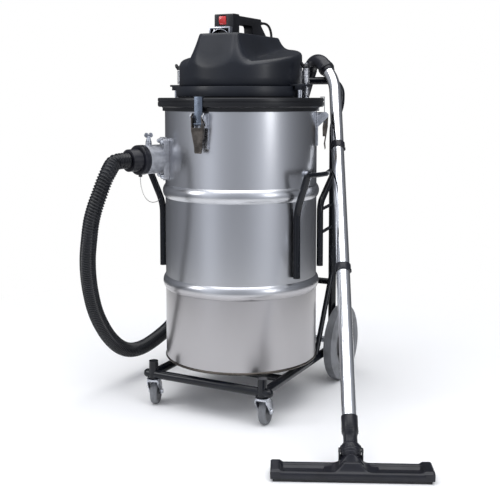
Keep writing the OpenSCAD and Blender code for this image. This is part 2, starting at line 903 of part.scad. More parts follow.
// Places children at the top end of the bent tube, with +Z out of it
module at_wand_end() {
  on_wand(bend_start) rotate([0, 0, 90])
    translate([bend_r * (1 - cos(bend_angle)), 0, bend_r * sin(bend_angle)])
      rotate([0, bend_angle, 0]) children();
}

// Two straight tubes and the bent top, end to end inside the collars
module wand_tubes() {
  color(steel) {
    on_wand(46) linear_extrude(joint_low - 46.5) annulus(wand_r, wand_r - wand_wall);
    on_wand(joint_low + 0.5) linear_extrude(joint_high - joint_low - 1)
      annulus(wand_r, wand_r - wand_wall);
    on_wand(joint_high + 0.5)
      bent_tube([[bend_start - joint_high - 0.5, bend_r, bend_angle, 90]],
        wand_r, wand_r - wand_wall);
  }
}

// Joint collars of the tubes and the three rings at the hose end
module wand_collars() {
  color(black) for (s = [joint_low, joint_high]) on_wand(s - 11) {
    hoop(wand_r + 0.05, wand_r + 3.2, 0, 22);
    rotate([0, 0, -60]) translate([wand_r + 1.6, -4, 5]) cube([6, 8, 10]);
  }
  at_wand_end() {
    color(grey) hoop(cuff_bore, 22, 0.2, 11);
    color(black) hoop(cuff_bore, 26, 11, 23);
    color(grey) hoop(cuff_bore, 24, 23, ring_l);
  }
}

// Places children at the end of the rings, turned to the elbow's bend
module at_elbow() {
  at_wand_end() translate([0, 0, ring_l + 0.1]) rotate([0, 0, elbow_roll]) children();
}

module wand_elbow() {
  color(black) at_elbow() translate([elbow_r, 0, 0]) rotate([90, 0, 180])
    rotate_extrude(angle = elbow_angle) translate([elbow_r, 0]) annulus(cuff_r, cuff_bore);
}

// Cuff that holds the wand end of the hose
module wand_cuff() {
  color(black) at_elbow()
    translate([elbow_r * (1 - cos(elbow_angle)), 0, elbow_r * sin(elbow_angle)])
      rotate([0, elbow_angle, 0]) hoop(cuff_bore, cuff_r + 1.2, 0.1, cuff_l);
}

pivot_s = -25;
pivot = wand_foot + pivot_s * wand_dir;
tool_turn = 25;
tool_l = 392;
tool_front = 60;
tool_back = 9;
lip_h = 25;
tray_h = 18;
end_h = 30;
end_l = 28;
mouth_h = 14;
ball_r = 26;
ball_fit = 0.09;
cup_wall = 4;
cup_drop = 12;
bell_h = 60;
duct_r = 13;
pin_r = 4;
ear_w = 3.4;
ear_gap = 0.6;

// Places children at the tool's pivot at floor height, +X along the tool, front towards -Y
module at_tool() {
  translate([pivot[0], pivot[1], 0]) rotate([0, 0, tool_turn]) children();
}

// Straight duct from the ball's centre down to the tool's mouth
module tool_duct(r) {
  at_tool() bar([0, 0, pivot[2]], [0, -(tool_front - tool_back) / 2, mouth_h - 4], r);
}

waist_r = 17.8;
waist_top = 42;
sleeve_r = 20.8;
neck_bore_r = 15;
wand_seat = 70.9;
neck_top = 86.4;

// Swivel neck: a ball on the tool's pivot, a waist and the sleeve that takes the wand
module tool_neck() {
  color(black) difference() {
    union() {
      translate(pivot) sphere(r = ball_r);
      on_wand(pivot_s) {
        cylinder(r = waist_r, h = waist_top);
        translate([0, 0, waist_top]) cylinder(r = sleeve_r, h = neck_top - waist_top);
      }
    }
    on_wand(pivot_s) cylinder(r = neck_bore_r, h = wand_seat + 0.1);
    on_wand(pivot_s + wand_seat) cylinder(r = wand_r + 0.05, h = 30);
    tool_duct(neck_bore_r);
    at_tool() translate([-2 * ball_r, 0, pivot[2]]) rotate([0, 90, 0])
      cylinder(r = pin_r + 0.08, h = 4 * ball_r);
  }
}

// Outline of the tool body across its length, as (y, z): front lip, tray and back ridge
module tool_outline() {
  polygon(concat([[-tool_front + 3, 7], [-tool_front, 13]],
    arc([-tool_front + 7, lip_h - 5], 5, 160, 40), [[-tool_front + 18, tray_h], [-16, tray_h]],
    arc([-5, lip_h - 5], 6, 130, 70), arc([tool_back - 5, lip_h - 5], 5, 80, 10),
    [[tool_back, 13], [tool_back - 3, 7]]));
}

// Outline of the raised ends, as (y, z)
module end_outline() {
  polygon(concat([[-tool_front + 3, 7], [-tool_front, 13]],
    arc([-tool_front + 9, end_h - 7], 7, 170, 90), arc([tool_back - 7, end_h - 7], 7, 90, 10),
    [[tool_back, 13], [tool_back - 3, 7]]));
}

// Front and side views of the bell that rises from the front lip to the ball
module bell_front() {
  right = [[48, tray_h - 2], [48, 24], [38, 27], [30, 33], [23, 40], [18, 46], [12, 54], [9, bell_h]];
  polygon(concat(right, [for (i = [len(right) - 1 : -1 : 0]) [-right[i][0], right[i][1]]]));
}

module bell_side() {
  polygon([[-tool_front + 2, tray_h - 2], [-tool_front + 2, 22], [-50, 29], [-44, 38], [-39, 49],
    [-36, bell_h], [-12, bell_h], [-12, tray_h - 2]]);
}

// The two strips the tool runs on, grown by t all round
module tool_strip_bars(t) {
  for (y = [-tool_front + 4, tool_back - 9]) translate([-tool_l / 2 + 6 - t, y - t, 0.2 - t])
    cube([tool_l - 12 + 2 * t, 5 + 2 * t, 13 + 2 * t]);
}

// Ear and pin on each side of the ball
module tool_ears() {
  for (side = [-1, 1]) {
    along_x(ear_w, side * (ball_r + ear_gap + ear_w / 2)) polygon(concat(
      [[-12, tray_h - 2]], arc([0, pivot[2]], 7.5, 180, 0), [[8, tray_h - 2]]));
    translate([side * (ball_r + ear_gap + ear_w / 2), 0, pivot[2]]) rotate([0, -side * 90, 0])
      cylinder(r = pin_r, h = ball_r + ear_gap - neck_bore_r - 1);
  }
}

module tool_body() {
  color(black) union() {
    difference() {
      union() {
        at_tool() {
          along_x(tool_l) tool_outline();
          for (side = [-1, 1]) along_x(end_l, side * (tool_l - end_l) / 2) end_outline();
          intersection() {
            along_y(-tool_front, tool_front) bell_front();
            along_x(tool_l / 2) bell_side();
          }
        }
        intersection() {
          translate(pivot) sphere(r = ball_r + cup_wall);
          translate([pivot[0], pivot[1], tray_h - 2])
            cylinder(r = 2 * ball_r, h = pivot[2] - cup_drop - tray_h + 2);
        }
      }
      translate(pivot) sphere(r = ball_r + ball_fit);
      tool_duct(duct_r);
      at_tool() {
        translate([-tool_l / 2 + 8, -tool_front + 10, 0])
          cube([tool_l - 16, tool_front + tool_back - 20, mouth_h]);
        tool_strip_bars(0.05);
      }
    }
    at_tool() tool_ears();
  }
}

module tool_strips() {
  color([0.14, 0.14, 0.14]) at_tool() tool_strip_bars(0);
}

// ---- hose, tether and mains lead ----

// Width of the clamping ring, and how far the cuff stands out of the casting
ring_w = 20;
cuff_out = 54;

module hose_ring() {
  color(black) difference() {
    union() {
      along_spigot(spigot_r + 1, spigot_end + gap, spigot_end + gap + ring_w);
      at_inlet() translate([-4, -spigot_end - 14, -spigot_r - 7]) cube([8, 8, 8]);
    }
    along_spigot(cuff_r + 10 + gap, spigot_end - 1, spigot_end + 30);
  }
}

module hose_cuff() {
  color(black) difference() {
    union() {
      along_spigot(spigot_bore - 0.8, 45, spigot_end - 2);
      along_spigot(cuff_r + 10, spigot_end - 2.1, spigot_end + cuff_out);
    }
    along_spigot(hose_r - 4, 40, spigot_end + 70);
  }
}

tether_r = 1;
aim = [sin(inlet_aim), -cos(inlet_aim), 0];
cuff_end = round_at(drum_r, inlet_at, inlet_z) + (spigot_end + cuff_out) * aim;
hose_top = [20.7, 408.4, 920];
ring_tab = round_at(drum_r, inlet_at, inlet_z) + (spigot_end + 10) * aim - [0, 0, spigot_r + 7];

// The hose leaves the inlet cuff, hangs beside the drum and climbs behind it
hose_route = [
  cuff_end, cuff_end + 28 * aim, cuff_end + 50 * aim - [0, 0, 5], [-232, -353, 709],
  [-237, -368, 682], [-246, -379, 645], [-258, -384, 609], [-272, -383, 568], [-287, -375, 514],
  [-306, -358, 458], [-325, -332, 400], [-343, -298, 338], [-361, -255, 275], [-375, -205, 216],
  [-385, -150, 162], [-387, -95, 120], [-386, -38, 96], [-381, 22, 91], [-376, 85, 101],
  [-370, 148, 120], [-362, 205, 150], [-348, 262, 193], [-328, 315, 254], [-301, 359, 322],
  [-272, 392, 390], [-238, 416, 456], [-199, 432, 520], [-158, 442, 586], [-119, 447, 648],
  [-84, 449, 710], [-53, 446, 768], [-26, 438, 822], [-3, 426, 870], hose_top
];

module hose() {
  color(black) route_tube(hose_route, hose_r, 12);
}

// Thin wire that keeps the hose ring on the machine, from the ring's tab to the guide bar
tether_route = [
  ring_tab, ring_tab - [0, 0, 10], ring_tab + [-1, 5, -30], ring_tab + [-4, 22, -55],
  ring_tab + [-8, 47, -73], ring_tab + [-13, 77, -83], ring_tab + [-18, 109, -85],
  ring_tab + [-22, 131, -82], ring_tab + [-24.6, 139, -79.5]
];

module hose_tether() {
  color(zinc) route_tube(tether_route, tether_r, 8);
}

lead_start = [0, leg_back + 34, gland_z];
coil_at = [-60, 404];
coil_in = coil_r - 4 * lead_r;
coil_out = coil_r + 4 * lead_r;
coil_lift = 0.3;
tie_t = 1.2;
coil_h = 36;
coil_touch = [-72, 346, coil_h + 2];

// The lead leaves the handle, loops down behind the head and drum and reaches its coil
lead_route = [
  lead_start, [0, 158, 1148], [0, 176, 1146], [0, 192, 1139], [0, 203, 1127], [0, 208, 1112],
  [0, 209, 1094], [0, 211, 1066], [0, 218, 1030], [0, 232, 990], [0, 247, 952], [0, 259, 914],
  [0, 264, 872], [-1, 263, 800], [-3, 261, 720], [-5, 260, 640], [-8, 260, 560], [-11, 261, 480],
  [-13, 263, 400], [-15, 266, 340], [-16, 272, 280], [-17, 283, 225], [-19, 298, 175],
  [-23, 315, 132], [-29, 329, 96], [-39, 339, 66], [-54, 344, 46], coil_touch
];

module mains_lead() {
  color(black) route_tube(lead_route, lead_r, 10);
}

// Eighteen turns lying on each other, and the tie that holds them
module lead_coil() {
  color(black) translate([coil_at[0], coil_at[1], 0]) {
    hoop(coil_in, coil_out, coil_lift, coil_h);
    rotate([0, 0, 160]) rotate_extrude(angle = 9) translate([coil_in - tie_t, coil_lift])
      square([coil_out - coil_in + 2 * tie_t, coil_h - coil_lift + tie_t]);
  }
}

plug_r = 19;
plug_at = [-46, 468, coil_h + plug_r + 0.1];
relief_l = 22;
tail_bend = 34;
pin_gap = 19;

// Round-bodied plug with two pins, lying on the coil, and the last of the lead
module mains_plug() {
  color(black) translate(plug_at) {
    rotate([0, 90, 0]) {
      cylinder(r1 = 15, r2 = plug_r, h = 24);
      translate([0, 0, 24]) cylinder(r = plug_r, h = 14);
      translate([0, 0, -relief_l]) cylinder(r1 = lead_r + 1.2, r2 = 9, h = relief_l + 1);
    }
    translate([-relief_l, 0, -tail_bend]) rotate([90, 0, 0]) rotate([0, 0, 90])
      rotate_extrude(angle = 67) translate([tail_bend, 0]) circle(r = lead_r);
  }
  color(zinc) translate(plug_at + [38, 0, 0]) rotate([0, 90, 0])
    for (side = [-1, 1]) translate([0, side * pin_gap / 2, -1]) cylinder(r = 2.4, h = 20);
}

drum_shell();
drum_bead();
drum_bosses();
inlet_casting();
inlet_fittings();
inlet_wing_screw();
lid_ring();
gaskets();
filter_ring();
filter_bag();
latch_base_front();
latch_lever_front();
latch_strap_front();
latch_base_right();
latch_lever_right();
latch_strap_right();
latch_base_left();
latch_lever_left();
latch_strap_left();
head_base();
motor_plate();
motors();
motor_cover();
carry_handle();
rocker();
front_bracket();
stud_springs();
stud_rods();
stud_knob_right();
stud_knob_left();
stud_lugs();
front_frame();
frame_rails();
frame_uprights();
frame_handle();
frame_braces();
cradle_pads();
guide_hoops();
guide_bars();
castor_fork_right();
castor_wheel_right();
castor_fork_left();
castor_wheel_left();
rear_axle();
rear_wheel_right();
rear_wheel_left();
wand_tubes();
wand_collars();
wand_elbow();
wand_cuff();
tool_neck();
tool_body();
tool_strips();
hose_ring();
hose_cuff();
hose();
hose_tether();
mains_lead();
lead_coil();
mains_plug();
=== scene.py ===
"""Visual model of the shop vacuum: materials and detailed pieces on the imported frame, in metres."""
import json
import math

import bpy
import bmesh
from mathutils import Matrix, Vector

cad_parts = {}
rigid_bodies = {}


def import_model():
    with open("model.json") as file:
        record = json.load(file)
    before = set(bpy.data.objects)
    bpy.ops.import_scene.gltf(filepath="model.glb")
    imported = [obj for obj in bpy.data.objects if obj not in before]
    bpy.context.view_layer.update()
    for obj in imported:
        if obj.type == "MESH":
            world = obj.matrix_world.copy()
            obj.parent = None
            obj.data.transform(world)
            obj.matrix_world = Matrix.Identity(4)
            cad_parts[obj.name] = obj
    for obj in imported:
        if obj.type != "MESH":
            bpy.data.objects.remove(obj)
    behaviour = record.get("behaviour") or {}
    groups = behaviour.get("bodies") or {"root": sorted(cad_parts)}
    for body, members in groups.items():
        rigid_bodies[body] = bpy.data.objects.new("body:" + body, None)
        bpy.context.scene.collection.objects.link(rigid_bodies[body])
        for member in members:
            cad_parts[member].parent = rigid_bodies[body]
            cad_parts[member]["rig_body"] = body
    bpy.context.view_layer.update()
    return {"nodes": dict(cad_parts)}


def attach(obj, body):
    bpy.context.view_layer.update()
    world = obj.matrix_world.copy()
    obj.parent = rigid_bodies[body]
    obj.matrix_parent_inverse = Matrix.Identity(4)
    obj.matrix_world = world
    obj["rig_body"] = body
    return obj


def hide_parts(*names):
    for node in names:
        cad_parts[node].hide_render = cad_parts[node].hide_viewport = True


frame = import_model()
NODES = frame["nodes"]
MACHINE = "machine"


def mm(x, y, z):
    """A point given in millimetres, in metres."""
    return Vector((x, y, z)) / 1000


# ---------------------------------------------------------------- camera, light and floor

def make_camera():
    data = bpy.data.cameras.new("camera")
    data.lens, data.sensor_width, data.shift_y = 62.64, 36, -0.169
    camera = bpy.data.objects.new("camera", data)
    camera.location = (1.2371, -2.3266, 0.917)
    camera.rotation_euler = (math.radians(85.5), 0, math.radians(27.407))
    bpy.context.collection.objects.link(camera)
    bpy.context.scene.camera = camera


def ramp_of(nodes, stops, interpolation="EASE"):
    ramp = nodes.new("ShaderNodeValToRGB")
    ramp.color_ramp.interpolation = interpolation
    line = ramp.color_ramp.elements
    while len(line) < len(stops):
        line.new(0.5)
    for element, (at, value) in zip(line, stops):
        element.position = at
        element.color = (*value, 1) if isinstance(value, tuple) else (value, value, value, 1)
    return ramp


# Brightness of the room round the machine: (turns from straight behind it, going by the left), value)
ROOM = [(0.0, 0.07), (0.10, 0.12), (0.19, 0.30), (0.28, 0.46), (0.335, 0.62), (0.365, 1.55), (0.40, 0.66),
        (0.47, 0.50), (0.53, 0.52), (0.585, 0.95), (0.63, 0.95), (0.69, 0.40), (0.76, 0.24), (0.85, 0.12),
        (1.0, 0.07)]


def make_world():
    world = bpy.data.worlds.new("studio")
    bpy.context.scene.world = world
    world.use_nodes = True
    nodes, links = world.node_tree.nodes, world.node_tree.links
    background = nodes["Background"]
    direction = nodes.new("ShaderNodeSeparateXYZ")
    turn = nodes.new("ShaderNodeMath")
    turn.operation = "ARCTAN2"
    spin = nodes.new("ShaderNodeVectorRotate")
    spin.rotation_type = "Z_AXIS"
    spin.inputs["Angle"].default_value = math.radians(-28)
    links.new(nodes.new("ShaderNodeTexCoord").outputs["Generated"], spin.inputs["Vector"])
    links.new(spin.outputs[0], direction.inputs[0])
    links.new(direction.outputs["X"], turn.inputs[0])
    back = nodes.new("ShaderNodeMath")
    back.operation = "MULTIPLY"
    back.inputs[1].default_value = -1
    links.new(direction.outputs["Y"], back.inputs[0])
    links.new(back.outputs[0], turn.inputs[1])
    share = nodes.new("ShaderNodeMapRange")
    share.inputs["From Min"].default_value = -math.pi
    share.inputs["From Max"].default_value = math.pi
    links.new(turn.outputs[0], share.inputs["Value"])
    round_room = ramp_of(nodes, ROOM, "B_SPLINE")
    links.new(share.outputs[0], round_room.inputs[0])
    up = ramp_of(nodes, [(0.0, 0.25), (0.45, 0.8), (0.62, 1.0), (0.85, 1.15), (1.0, 1.3)])
    height = nodes.new("ShaderNodeMapRange")
    height.inputs["From Min"].default_value = -1
    links.new(direction.outputs["Z"], height.inputs["Value"])
    links.new(height.outputs[0], up.inputs[0])
    mix = nodes.new("ShaderNodeMix")
    mix.data_type, mix.blend_type = "RGBA", "MULTIPLY"
    mix.inputs["Factor"].default_value = 1
    links.new(round_room.outputs["Color"], mix.inputs["A"])
    links.new(up.outputs["Color"], mix.inputs["B"])
    tint = nodes.new("ShaderNodeMix")
    tint.data_type, tint.blend_type = "RGBA", "MULTIPLY"
    tint.inputs["Factor"].default_value = 1
    tint.inputs["B"].default_value = (0.95, 0.985, 1.08, 1)
    links.new(mix.outputs["Result"], tint.inputs["A"])
    links.new(tint.outputs["Result"], background.inputs["Color"])


def area_light(name, place, target, size, power, colour=(1, 1, 1)):
    data = bpy.data.lights.new(name, "AREA")
    data.shape, data.size, data.size_y, data.energy, data.color = "RECTANGLE", *size, power, colour
    light = bpy.data.objects.new(name, data)
    light.location = place
    light.rotation_euler = (Vector(target) - Vector(place)).to_track_quat("-Z", "Y").to_euler()
    bpy.context.collection.objects.link(light)
    return light


NEAR_FLOOR = 1.75
FADE_FROM, FADE_MARGIN = 0.85, 0.05
DOME_R, FAR_FLOOR_R, FAR_FLOOR_DROP = 13.9, 14, 0.002


def make_stage():
    white = bpy.data.materials.new("studio_white")
    white.use_nodes = True
    nodes, links = white.node_tree.nodes, white.node_tree.links
    paper = nodes["Principled BSDF"]
    paper.inputs["Base Color"].default_value = (0.93, 0.93, 0.93, 1)
    paper.inputs["Roughness"].default_value = 0.75
    distance = nodes.new("ShaderNodeVectorMath")
    distance.operation = "LENGTH"
    links.new(nodes.new("ShaderNodeTexCoord").outputs["Object"], distance.inputs[0])
    far = nodes.new("ShaderNodeMapRange")
    far.interpolation_type = "SMOOTHSTEP"
    far.inputs["From Min"].default_value = FADE_FROM
    far.inputs["From Max"].default_value = NEAR_FLOOR - FADE_MARGIN
    links.new(distance.outputs["Value"], far.inputs["Value"])
    bright = nodes.new("ShaderNodeEmission")
    bright.inputs["Color"].default_value = (1, 1, 1, 1)
    blend = nodes.new("ShaderNodeMixShader")
    links.new(far.outputs[0], blend.inputs[0])
    links.new(paper.outputs[0], blend.inputs[1])
    links.new(bright.outputs[0], blend.inputs[2])
    links.new(blend.outputs[0], nodes["Material Output"].inputs[0])
    bpy.ops.mesh.primitive_circle_add(vertices=96, radius=NEAR_FLOOR, fill_type="NGON")
    floor = bpy.context.object
    floor.name = "studio_floor"
    floor.data.materials.append(white)
    glow = bpy.data.materials.new("studio_backdrop")
    glow.use_nodes = True
    glow.node_tree.nodes.remove(glow.node_tree.nodes["Principled BSDF"])
    emission = glow.node_tree.nodes.new("ShaderNodeEmission")
    emission.inputs["Color"].default_value = (1, 1, 1, 1)
    glow.node_tree.links.new(emission.outputs[0], glow.node_tree.nodes["Material Output"].inputs[0])
    bpy.ops.mesh.primitive_uv_sphere_add(segments=48, ring_count=24, radius=DOME_R)
    dome = bpy.context.object
    dome.name = "studio_dome"
    bpy.ops.mesh.primitive_circle_add(vertices=96, radius=FAR_FLOOR_R, fill_type="NGON",
                                      location=(0, 0, -FAR_FLOOR_DROP))
    far_floor = bpy.context.object
    far_floor.name = "studio_far_floor"
    for shell in (dome, far_floor):
        shell.data.materials.append(glow)
        shell.visible_diffuse = shell.visible_glossy = False
        shell.visible_transmission = shell.visible_shadow = False
    area_light("overhead", (0.2, -0.3, 4.2), (0, 0, 0), (5.0, 5.0), 185)
    area_light("key_left", (-2.4, -2.6, 2.3), (0, 0, 0.7), (1.0, 1.8), 26)
    area_light("fill_right", (3.4, -1.2, 1.6), (0, 0, 0.8), (0.8, 1.6), 14)


scene = bpy.context.scene
scene.view_settings.view_transform = "Standard"
make_camera()
make_world()
make_stage()


# ---------------------------------------------------------------- materials

class Paint:
    """A procedural material built up step by step."""

    AROUND_R = 0.23

    def __init__(self, name, colour, rough, metallic=0.0):
        self.material = bpy.data.materials.new(name)
        self.material.use_nodes = True
        self.material.diffuse_color = (*colour, 1)
        self.nodes, self.links = self.material.node_tree.nodes, self.material.node_tree.links
        self.shader = self.nodes["Principled BSDF"]
        self.colour, self.rough = colour, rough
        self.set("Base Color", (*colour, 1)).set("Roughness", rough).set("Metallic", metallic)
        self.coords = self.nodes.new("ShaderNodeTexCoord").outputs["Object"]
        self.around = None
        self.normal = None

    def set(self, socket, value):
        self.shader.inputs[socket].default_value = value
        return self

    def math(self, operation, a, b=None):
        node = self.nodes.new("ShaderNodeMath")
        node.operation = operation
        for socket, value in zip(node.inputs, (a, b)):
            if isinstance(value, (int, float)):
                socket.default_value = value
            elif value is not None:
                self.links.new(value, socket)
        return node.outputs[0]

    def unrolled(self):
        """Coordinates along and up a surface of revolution about the Z axis."""
        if self.around is None:
            split = self.nodes.new("ShaderNodeSeparateXYZ")
            self.links.new(self.coords, split.inputs[0])
            join = self.nodes.new("ShaderNodeCombineXYZ")
            turn = self.math("ARCTAN2", split.outputs[0], split.outputs[1])
            self.links.new(self.math("MULTIPLY", turn, self.AROUND_R), join.inputs[0])
            self.links.new(split.outputs[2], join.inputs[2])
            self.around = join.outputs[0]
        return self.around

    def noise(self, scale, detail=3, unroll=False):
        noise = self.nodes.new("ShaderNodeTexNoise")
        noise.inputs["Scale"].default_value = scale
        noise.inputs["Detail"].default_value = detail
        self.links.new(self.unrolled() if unroll else self.coords, noise.inputs["Vector"])
        return noise.outputs[0]

    def ranged(self, value, low, high):
        node = self.nodes.new("ShaderNodeMapRange")
        node.interpolation_type = "SMOOTHSTEP"
        for socket, number in (("From Min", 0.25), ("From Max", 0.75), ("To Min", low), ("To Max", high)):
            node.inputs[socket].default_value = number
        self.links.new(value, node.inputs["Value"])
        return node.outputs[0]

    def mottled(self, scale, light=1.12, dark=0.86, unroll=False, detail=4):
        """Colour that wanders between a darker and a lighter tone."""
        ramp = ramp_of(self.nodes, [(0.3, tuple(min(1, c * dark) for c in self.colour)),
                                    (0.7, tuple(min(1, c * light) for c in self.colour))])
        self.links.new(self.noise(scale, detail, unroll), ramp.inputs[0])
        self.links.new(ramp.outputs[0], self.shader.inputs["Base Color"])
        return self

    def banded(self, stops):
        """Colour that changes with height, as (height in metres, colour), with a soft wander."""
        split = self.nodes.new("ShaderNodeSeparateXYZ")
        self.links.new(self.coords, split.inputs[0])
        swing = self.math("SUBTRACT", self.noise(5, 2, True), 0.5)
        wander = self.math("MULTIPLY", swing, 0.02)
        ramp = ramp_of(self.nodes, stops)
        self.links.new(self.math("ADD", split.outputs[2], wander), ramp.inputs[0])
        self.links.new(ramp.outputs[0], self.shader.inputs["Base Color"])
        return self

    def uneven(self, scale, spread, detail=4):
        """Roughness that varies by plus or minus spread."""
        value = self.ranged(self.noise(scale, detail), self.rough - spread, self.rough + spread)
        self.links.new(value, self.shader.inputs["Roughness"])
        return self

    def bump(self, height, strength, distance):
        node = self.nodes.new("ShaderNodeBump")
        node.inputs["Strength"].default_value = strength
        node.inputs["Distance"].default_value = distance
        self.links.new(height, node.inputs["Height"])
        if self.normal:
            self.links.new(self.normal, node.inputs["Normal"])
        self.normal = node.outputs[0]
        self.links.new(self.normal, self.shader.inputs["Normal"])
        return self

    def grain(self, scale, strength, distance=0.001):
        return self.bump(self.noise(scale), strength, distance)


def make_paints():
    p = {}
    # The drum's sections have tones of their own, changing at the swages. The lower section and the foot
    # band, which darkens towards the floor, are darker still as painted shade: it stands in for the dimmer
    # reflections low on the drum.
    foot_tone_and_shade, lower_tone_and_shade = (0.40, 0.39, 0.395), (0.42, 0.41, 0.42)
    middle, upper = (0.53, 0.54, 0.565), (0.585, 0.595, 0.62)
    p["drum"] = (Paint("drum_steel", (0.55, 0.56, 0.585), 0.28, 1.0)
                 .banded([(0.0, foot_tone_and_shade), (0.352, lower_tone_and_shade), (0.372, middle), (0.625, middle),
                          (0.65, upper), (1.0, upper)])
                 .grain(1400, 0.02, 0.0001))
    p["bead"] = (Paint("drum_foot_bead", (0.09, 0.08, 0.07), 0.32, 0.9)
                 .mottled(14, 1.3, 0.7, True).uneven(20, 0.06).grain(300, 0.04, 0.0004))
    p["cast"] = (Paint("cast_aluminium", (0.40, 0.41, 0.44), 0.46, 1.0)
                 .mottled(70, 1.10, 0.82).uneven(40, 0.08).grain(420, 0.30, 0.0006))
    p["zinc"] = (Paint("zinc_plate", (0.52, 0.54, 0.585), 0.27, 1.0)
                 .mottled(55, 1.10, 0.80).uneven(80, 0.09).grain(500, 0.05, 0.0004))
    p["strap"] = (Paint("latch_strap_steel", (0.10, 0.12, 0.155), 0.30, 0.9)
                  .mottled(45, 1.12, 0.80).uneven(70, 0.08).grain(500, 0.05, 0.0004))
    p["spring"] = (Paint("spring_steel", (0.66, 0.67, 0.70), 0.2, 1.0)
                   .mottled(180, 1.05, 0.88).uneven(200, 0.05))
    p["bronze"] = (Paint("dark_bronze", (0.105, 0.093, 0.082), 0.34, 0.85)
                   .mottled(60, 1.5, 0.6).uneven(70, 0.1).grain(420, 0.07, 0.0004))
    p["ring"] = (Paint("black_ring", (0.0085, 0.009, 0.011), 0.32).set("Specular IOR Level", 0.38)
                 .mottled(9, 1.25, 0.8).uneven(14, 0.05).grain(900, 0.04, 0.0004))
    p["rubber"] = (Paint("seal_rubber", (0.016, 0.016, 0.017), 0.7)
                   .mottled(40, 1.4, 0.7).uneven(60, 0.06).grain(700, 0.2))
    p["cloth"] = (Paint("filter_cloth", (0.60, 0.575, 0.50), 0.92)
                  .mottled(120, 1.1, 0.85).uneven(90, 0.04).grain(900, 0.5, 0.001))
    p["moulded"] = (Paint("filter_frame", (0.16, 0.16, 0.17), 0.55)
                    .mottled(30, 1.2, 0.85).uneven(50, 0.05).grain(600, 0.08))
    p["motor"] = (Paint("motor_metal", (0.55, 0.55, 0.57), 0.35, 1.0)
                  .mottled(40).uneven(60, 0.08).grain(300, 0.06))
    p["head"] = (Paint("head_plastic", (0.0095, 0.0115, 0.017), 0.35).set("Specular IOR Level", 0.38)
                 .mottled(7, 1.22, 0.84).uneven(18, 0.05).grain(650, 0.14, 0.0005).grain(60, 0.03, 0.001))
    p["box"] = (Paint("switch_box_plastic", (0.009, 0.0095, 0.012), 0.36).set("Specular IOR Level", 0.34)
                .mottled(20, 1.25, 0.8).uneven(30, 0.06).grain(800, 0.08, 0.0004))
    p["red"] = (Paint("red_plastic", (0.62, 0.022, 0.022), 0.25).set("Coat Weight", 0.4)
                .mottled(60, 1.12, 0.86).uneven(60, 0.05).grain(400, 0.03))
    p["knob"] = (Paint("knob_plastic", (0.008, 0.008, 0.010), 0.26).set("Specular IOR Level", 0.42)
                 .mottled(50, 1.3, 0.8).uneven(50, 0.05).grain(500, 0.04))
    p["paint"] = (Paint("black_paint", (0.0035, 0.0045, 0.0075), 0.15).set("Specular IOR Level", 0.34)
                  .mottled(12, 1.3, 0.75).uneven(22, 0.04).grain(110, 0.03, 0.0006))
    p["tyre"] = (Paint("grey_tyre", (0.165, 0.17, 0.18), 0.58).set("Specular IOR Level", 0.4)
                 .mottled(30, 1.15, 0.84).uneven(50, 0.07).grain(500, 0.12, 0.0006))
    p["hub"] = (Paint("black_hub", (0.011, 0.011, 0.013), 0.38).set("Specular IOR Level", 0.36)
                .mottled(30, 1.3, 0.8).uneven(40, 0.06).grain(600, 0.08))
    p["disc"] = (Paint("castor_disc", (0.075, 0.077, 0.083), 0.42).set("Specular IOR Level", 0.4)
                 .mottled(40, 1.2, 0.84).uneven(50, 0.06).grain(600, 0.08))
    p["chrome"] = (Paint("wand_chrome", (0.80, 0.81, 0.83), 0.13, 1.0)
                   .mottled(14, 1.03, 0.93).uneven(18, 0.035).grain(220, 0.012, 0.0005))
    p["fitting"] = (Paint("black_fitting", (0.0085, 0.009, 0.0135), 0.34).set("Specular IOR Level", 0.36)
                    .mottled(22, 1.3, 0.8).uneven(30, 0.06).grain(700, 0.06, 0.0004))
    p["hose"] = (Paint("hose_plastic", (0.006, 0.007, 0.0095), 0.20).set("Specular IOR Level", 0.36)
                 .mottled(16, 1.35, 0.75).uneven(24, 0.05).grain(300, 0.03))
    p["tether"] = (Paint("tether_wire", (0.62, 0.61, 0.58), 0.35, 0.9)
                   .mottled(300, 1.1, 0.8).uneven(300, 0.08))
    p["lead"] = (Paint("lead_rubber", (0.010, 0.010, 0.011), 0.46).set("Specular IOR Level", 0.4)
                 .mottled(60, 1.3, 0.8).uneven(60, 0.06).grain(500, 0.06))
    return {name: paint.material for name, paint in p.items()}


PAINTS = make_paints()
NODE_PAINT = {
    "drum": ["drum_shell"],
    "bead": ["drum_bead"],
    "cast": ["inlet_casting"],
    "zinc": ["drum_bosses", "inlet_fittings", "inlet_wing_screw", "latch_base_front",
             "latch_base_right", "latch_base_left", "front_bracket", "stud_rods", "castor_fork_right",
             "castor_fork_left", "rear_axle", "stud_springs"],
    "strap": ["latch_strap_front", "latch_strap_right", "latch_strap_left"],
    "bronze": ["latch_lever_front", "latch_lever_right", "latch_lever_left"],
    "ring": ["lid_ring"],
    "rubber": ["gaskets", "cradle_pads", "tool_strips"],
    "cloth": ["filter_bag"],
    "moulded": ["filter_ring", "motor_plate"],
    "motor": ["motors"],
    "head": ["head_base", "motor_cover", "stud_lugs"],
    "box": ["carry_handle"],
    "red": ["rocker"],
    "knob": ["stud_knob_right", "stud_knob_left"],
    "paint": ["front_frame", "frame_rails", "frame_uprights", "frame_handle", "frame_braces",
              "guide_hoops", "guide_bars"],
    "tyre": ["castor_wheel_right", "castor_wheel_left", "rear_wheel_right", "rear_wheel_left"],
    "chrome": ["wand_tubes"],
    "fitting": ["wand_collars", "wand_elbow", "wand_cuff", "tool_neck", "tool_body", "hose_ring",
                "hose_cuff"],
    "hose": ["hose"],
    "tether": ["hose_tether"],
    "lead": ["mains_lead", "lead_coil", "mains_plug"],
}


def paint_nodes():
    for paint, names in NODE_PAINT.items():
        for name in names:
            mesh = NODES[name].data
            mesh.materials.clear()
            mesh.materials.append(PAINTS[paint])


paint_nodes()


# ---------------------------------------------------------------- mesh helpers

